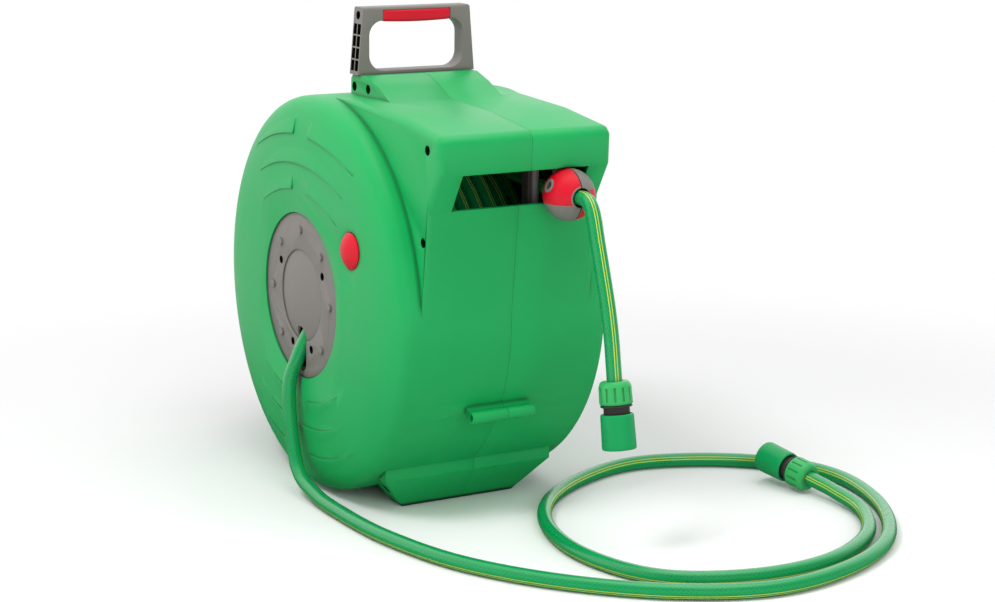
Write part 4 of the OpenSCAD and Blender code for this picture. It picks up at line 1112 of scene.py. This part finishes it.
@dataclass
class BallStop:
    """The two shells of the ball stop, each grey with a red panel, alike but turned half round."""

    centre: Triple = (48.0, -530.417, 162.232)
    radius: float = 26.2
    bore: float = 10.0
    panel_height: float = -0.28
    ring: float = 0.45
    panel_start: float = 0.03
    seam: float = 0.5
    merge: float = 0.15
    wall: float = 2.4
    edge: float = 0.4
    screw_z: float = 10.9
    cup_hole: float = 5.6
    cup: tuple[tuple[float, float], ...] = (
        (5.4, -2.2), (7.2, -1.6), (7.1, -0.6), (6.6, -0.3), (5.0, 0.1), (4.5, 0.0), (4.35, -0.5),
        (4.35, -6.0), (5.2, -6.0),
    )  # fmt: skip

    def shell(self, name: str, node: str, side: int, paint: Paint) -> None:
        """Builds one half.

        Args:
            name: name of the piece.
            node: the CAD node that it stands for.
            side: -1 for the half towards -X, 1 for the other.
            paint: the finishes.
        """
        size = self.radius * MM
        bpy.ops.object.select_all(action="DESELECT")
        bpy.ops.mesh.primitive_uv_sphere_add(segments=96, ring_count=48, radius=size, enter_editmode=True)
        bpy.ops.mesh.select_all(action="SELECT")
        bpy.ops.transform.rotate(value=math.pi / 2, orient_axis="X", center_override=(0, 0, 0))
        level = self.panel_height * size * -side
        start = self.panel_start * size
        cuts = (
            ((self.seam * side * MM, 0, 0), (side, 0, 0), True),
            ((0, 0, level), (0, 0, 1), False),
            ((side * start, 0, 0), (1, 0, 0), False),
        )
        for place, normal, clear in cuts:
            bpy.ops.mesh.select_all(action="SELECT")
            bpy.ops.mesh.bisect(plane_co=place, plane_no=normal, clear_inner=clear)
        bpy.ops.mesh.select_all(action="SELECT")
        bpy.ops.mesh.remove_doubles(threshold=self.merge * MM)
        Bench.leave()
        piece = bpy.context.active_object
        piece.name = piece.data.name = name
        Bench.remove(piece, lambda c, n: math.hypot(c.x, c.z) < self.bore * MM)
        paint.dress(piece, Finish.GREY, Finish.RED)
        ring = self.ring * size
        Bench.recolour(
            piece,
            lambda c, n: c.x * side > start and (c.z - level) * -side > 0 and math.hypot(c.x, c.z) > ring,
        )
        if side < 0:
            cup = self.screw_way() * size
            Bench.remove(piece, lambda c, n: (c - cup).length < self.cup_hole * MM)
        wall = piece.modifiers.new("wall", "SOLIDIFY")
        wall.thickness = self.wall * MM
        wall.offset = -1
        Bench.apply(piece)
        Bench.round_edges(piece, self.edge * MM, 2, 50)
        Bench.smooth(piece, 30)
        piece.data.transform(Matrix.Translation(Vector(self.centre) * MM))
        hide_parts(node)
        ride(piece, Body.GUIDE)

    def screw_way(self) -> Vector:
        """Direction from the ball's centre to the middle of the screw's cup."""
        height = self.screw_z / self.radius
        return Vector((-math.sqrt(1 - height**2), 0, height))

    def build(self, paint: Paint) -> None:
        """Builds both halves and the rim of the screw's cup.

        Args:
            paint: the finishes.
        """
        self.shell("ball_shell_left", "ball_left", -1, paint)
        self.shell("ball_shell_right", "ball_right", 1, paint)
        rim = Bench.lathe("ball_screw_cup", self.cup)
        out = self.screw_way()
        turn = Vector((0, 0, 1)).rotation_difference(out).to_matrix().to_4x4()
        rim.data.transform(Matrix.Translation((Vector(self.centre) + out * self.radius) * MM) @ turn)
        Bench.smooth(rim, 40)
        paint.dress(rim, Finish.GREY)
        ride(rim, Body.GUIDE)


@dataclass
class Mouldings:
    """Rigid mouldings that keep their CAD form and get rounded edges."""

    axis: tuple[float, float] = (-285.0, 30.0)
    casing_radius: float = 210.0
    visor_x: float = 97.0
    visor_rise: float = 14.0
    visor_reach: float = 80.0
    slack: float = 0.05
    rounding: float = 8.0
    seam_x: float = 0.02
    slot_low_z: float = 149.0
    lower_share: float = 0.25
    seam_share: float = 0.075
    brow_share: float = 0.45
    brow_y: float = -524.0
    brow_z: float = 221.0
    face_share: float = 0.14
    bar_share: float = 0.32
    grip_bow: float = 1.4
    grip_cuts: int = 4
    grip_edge: float = 2.0
    hole_radius: float = 4.95
    hole_rim: float = 8.0
    hole_x: float = 40.0
    wall_turn: float = 0.5
    groove_turn: float = 0.15
    screw_holes: tuple[tuple[float, float], ...] = (
        (-505.0, 212.0), (-496.5, 120.0), (-315.0, 248.0), (-283.0, 248.0), (-392.94, -160.0),
    )  # fmt: skip
    cover_hole_circle: float = 59.0
    cover_hole_angles: tuple[float, ...] = (30.0, 150.0, 247.0, 293.0)
    dish_x: float = 128.4
    dish_radius: float = 48.6
    dish_rise: float = 6.0
    dish_cuts: int = 6
    handle_y: float = -288.0
    handle_depth: float = 20.0
    handle_top: float = 331.0
    handle_end: float = 62.0
    handle_slope: float = 6 / 70
    handle_slack: float = 0.1
    grip_end: float = 42.0
    window_z: float = 300.0
    cell_rim: float = 62.6
    cell_half: float = 8.4
    cell_floor: float = 57.5
    tube: tuple[float, float] = (322.6, 4.7)
    tube_start: float = 46.5

    def casing_share(self, a: Vector, b: Vector) -> float:
        """How far a casing edge is rounded, from its two ends: visor corners most, the seam a little.

        Args:
            a, b: the edge's two ends.

        Returns:
            Its share of the widest rounding.
        """
        widest = max(abs(a.x), abs(b.x))
        if widest < self.seam_x * MM:
            return self.seam_share
        across = abs(a.x - b.x) > self.visor_x / 2 * MM and widest > (self.visor_x - 1) * MM
        if across and max(a.y, b.y) < self.brow_y * MM and min(a.z, b.z) > self.brow_z * MM:
            return self.brow_share
        y, z = (c * MM for c in self.axis)
        beside = all(abs(abs(p.x) - self.visor_x * MM) < self.slack * MM for p in (a, b))
        reach = max(math.hypot(p.y - y, p.z - z) for p in (a, b))
        far = reach > (self.casing_radius + self.visor_rise) * MM
        ahead = min(a.y, b.y) <= y - self.visor_reach * MM
        if not (beside and far and ahead) or self.in_casing_hole((a + b) / 2, self.hole_rim):
            return 0.0
        return 1.0 if min(a.z, b.z) > (self.slot_low_z - 1) * MM else self.lower_share

    def handle_share(self, a: Vector, b: Vector) -> float:
        """How far a handle edge is rounded, from its two ends: the bar most, the faces' rims a little.

        Args:
            a, b: the edge's two ends.

        Returns:
            Its share of the widest rounding.
        """
        slack = self.handle_slack * MM
        if min(a.z, b.z) > self.handle_top * MM - slack:
            corner = min(a.x, b.x) > self.handle_end * MM
            return self.bar_share * (corner or abs(a.x - b.x) > self.grip_end * MM)
        if min(abs(a.x), abs(b.x)) > self.handle_end * MM:
            return 0.0
        beside_grip = any(p.z > self.window_z * MM and abs(p.x) < self.grip_end * MM for p in (a, b))
        half = self.handle_depth / 2 * MM
        rim = all(abs(abs(p.y - self.handle_y * MM) - half) < slack for p in (a, b))
        return self.face_share if rim and not beside_grip else 0.0

    def in_casing_hole(self, c: Vector, radius: float) -> bool:
        """Whether a place lies within a radius of a casing screw's axis."""
        return any(math.hypot(c.y - y * MM, c.z - z * MM) < radius * MM for y, z in self.screw_holes)

    def casing_shade(self, c: Vector, n: Vector) -> bool:
        """Whether a casing face lies on the wall of a screw hole or in the seam's groove.

        Args:
            c: the face's centre.
            n: its normal.

        Returns:
            True for a face in shade.
        """
        outside = abs(n.x) < self.wall_turn and abs(c.x) > self.hole_x * MM
        groove = abs(c.x) < self.seam_share * self.rounding * MM and abs(n.x) > self.groove_turn
        return groove or (outside and self.in_casing_hole(c, self.hole_radius))

    def cover_shade(self, c: Vector, n: Vector) -> bool:
        """Whether a hub cover's face lies on the wall of a screw hole.

        Args:
            c: the face's centre.
            n: its normal.

        Returns:
            True for a face in shade.
        """
        turns = [math.radians(a) for a in self.cover_hole_angles]
        reach = self.cover_hole_circle
        holes = [(self.axis[0] + reach * math.cos(a), self.axis[1] + reach * math.sin(a)) for a in turns]
        near = any(math.hypot(c.y - y * MM, c.z - z * MM) < self.hole_radius * MM for y, z in holes)
        return near and abs(n.x) < self.wall_turn

    def handle_shade(self, c: Vector, n: Vector) -> bool:
        """Whether a handle face lies inside a rib cell or the bar's open end.

        Args:
            c: the face's centre.
            n: its normal; not used.

        Returns:
            True for a face in shade.
        """
        x, y, z = abs(c.x) / MM, c.y / MM - self.handle_y, c.z / MM
        height, radius = self.tube
        end = self.cell_rim + (self.handle_top - z) * self.handle_slope
        inside = abs(y) < self.cell_half and x < end and z < height + radius
        tube = math.hypot(y, z - height) < radius and x > self.tube_start
        return inside and (tube or x > self.cell_floor)

    def in_dish(self, c: Vector) -> bool:
        """Whether a place lies on the flat dish in the middle of a hub cover.

        Args:
            c: the place.

        Returns:
            True on either cover's dish.
        """
        y, z = (v * MM for v in self.axis)
        near = math.hypot(c.y - y, c.z - z) < (self.dish_radius + self.slack) * MM
        return near and abs(abs(c.x) - self.dish_x * MM) < self.slack * MM

    def crown_dish(self, piece: bpy.types.Object) -> None:
        """Cuts a hub cover's dish into a grid and lets it rise towards its middle as a shallow lens.

        Args:
            piece: a hub cover.
        """
        y, z = (v * MM for v in self.axis)
        count = self.dish_cuts
        steps = [i * self.dish_radius * MM / count for i in range(1 - count, count)]
        cuts = [((0, y + s, 0), (0, 1, 0)) for s in steps] + [((0, 0, z + s), (0, 0, 1)) for s in steps]
        Bench.pick(piece)
        for place, normal in cuts:
            Bench.choose_faces(piece, lambda c, n: abs(n.x) > 0.99 and self.in_dish(c))
            bpy.ops.mesh.bisect(plane_co=place, plane_no=normal)
            Bench.leave()
        for vertex in piece.data.vertices:
            if self.in_dish(vertex.co):
                share = math.hypot(vertex.co.y - y, vertex.co.z - z) / (self.dish_radius * MM)
                rise = self.dish_rise * MM * max(0.0, 1 - share**2)
                vertex.co.x += math.copysign(rise, vertex.co.x)
        Bench.smooth(piece)

    def bow_grip(self, piece: bpy.types.Object) -> None:
        """Lets the soft grip swell towards its middle and rounds its ends.

        Args:
            piece: the grip.
        """
        half = self.grip_end * MM
        Bench.pick(piece)
        Bench.edit()
        for i in range(1 - self.grip_cuts, self.grip_cuts):
            bpy.ops.mesh.select_all(action="SELECT")
            bpy.ops.mesh.bisect(plane_co=(i * half / self.grip_cuts, 0, 0), plane_no=(1, 0, 0))
        Bench.leave()
        middle = sum((v.co.z for v in piece.data.vertices), 0.0) / len(piece.data.vertices)
        for vertex in piece.data.vertices:
            swell = self.grip_bow * MM * (1 - (vertex.co.x / half) ** 2)
            if vertex.co.z < middle:
                vertex.co.z -= swell
            vertex.co.y += math.copysign(swell / 3, vertex.co.y - self.handle_y * MM)
        Bench.round_edges(piece, self.grip_edge * MM, 3, 50)
        Bench.smooth(piece, 50)

    def build(self, frame: dict[str, Any], paint: Paint) -> None:
        """Refines and dresses each moulding, and paints shade inside its holes and cells and in the casing
        seam's groove.

        Args:
            frame: the loaded frame.
            paint: the finishes.
        """
        wide = self.rounding * MM
        casing, handle = (wide, self.casing_share), (wide, self.handle_share)
        # Columns: node, name, edge rounding, soft rounding, finish, painted shade finish, and the test for
        # faces that get the painted shade.
        table = (
            ("left_casing", "casing_left_half", 0.45, casing, Finish.SHELL, Finish.DEEP, self.casing_shade),
            ("right_casing", "casing_right_half", 0.45, casing, Finish.SHELL, Finish.DEEP, self.casing_shade),
            ("handle", "carrying_handle", 0, handle, Finish.GREY, Finish.BLACK, self.handle_shade),
            ("handle_grip", "soft_grip", 0, None, Finish.RED, None, None),
            ("hub_cover", "inlet_hub_cover", 0.4, None, Finish.GREY, Finish.BLACK, self.cover_shade),
            ("spring_cover", "spring_hub_cover", 0.4, None, Finish.GREY, Finish.BLACK, self.cover_shade),
            ("pivot_tube", "pivot_moulding", 0.4, None, Finish.TUBE, None, None),
        )
        for node, name, edge, soft, finish, shaded, test in table:
            piece = Bench.refine(frame, node, name, edge * MM, soft)
            if node == "handle_grip":
                self.bow_grip(piece)
            if test == self.cover_shade:
                self.crown_dish(piece)
            if shaded:
                paint.dress(piece, finish, shaded)
                # painted shade: the faces that pass the test get the dark second finish
                Bench.recolour(piece, test)
            else:
                paint.dress(piece, finish)
            ride(piece, Body.WALL if node == "pivot_tube" else Body.REEL)


@dataclass
class Lock:
    """The lock button's return spring."""

    travel: float = 5.5

    def build(self, frame: dict[str, Any], paint: Paint) -> None:
        """Copies the CAD spring and sets it on the reel.

        Args:
            frame: the loaded frame.
            paint: the finishes.
        """
        spring = Bench.refine(frame, "button_spring", "button_return_spring", 0)
        paint.dress(spring, Finish.STEEL)
        ride(spring, Body.REEL)
        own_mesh(spring)


class Carried:
    """CAD nodes whose shape is right as it is."""

    def build(self, frame: dict[str, Any], paint: Paint) -> None:
        """Dresses each node.

        Args:
            frame: the loaded frame.
            paint: the finishes.
        """
        table = {
            Finish.STEEL: (
                "casing_screws", "spring_arbor", "guide_rods", "pawl_pin", "pawl_spring", "button_cam",
                "power_spring", "ball_screw",
            ),
            Finish.RED: ("lock_button",),
            Finish.GREY: (
                "wall_bracket", "axle", "spring_housing", "water_union", "feed_tube", "pawl", "outlet_stem",
                "supply_stem", "left_roller", "right_roller",
            ),
            Finish.DRUM: ("barrel", "left_flange", "right_flange"),
            Finish.DARK: ("ratchet_ring", "guide_carriage"),
            Finish.WHITE: ("left_bush", "right_bush"),
            Finish.RUBBER: ("pivot_o_ring", "union_seals"),
        }  # fmt: skip
        for finish, nodes in table.items():
            for node in nodes:
                paint.dress(frame["nodes"][node], finish)
                LOG.info("%s keeps its CAD shape, finish %s", node, finish.value.name)


def main() -> None:
    """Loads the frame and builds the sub-assemblies in order."""
    logging.basicConfig(level=logging.INFO, format="%(name)s: %(message)s")
    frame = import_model()
    studio = Studio()
    studio.camera()
    paint = Paint()
    hoses = Hoses()
    hoses.free(paint)
    outlet, supply = hoses.outlet.line, hoses.supply.line
    outlet_set = Coupling(
        "outlet", outlet[-1], Vector(hoses.outlet_ahead), Body.GUIDE, Body.OUTLET_SLEEVE
    ).build(paint)
    supply_set = Coupling(
        "supply", supply[-1], Vector(hoses.supply_ahead), Body.REEL, Body.SUPPLY_SLEEVE
    ).build(paint)
    nodes = frame["nodes"]
    hoses.declare([*outlet_set, nodes["outlet_stem"]], [*supply_set, nodes["supply_stem"]])
    hoses.inside(paint)
    BallStop().build(paint)
    Mouldings().build(frame, paint)
    Lock().build(frame, paint)
    Carried().build(frame, paint)
    studio.build()


if __name__ == "__main__":
    main()
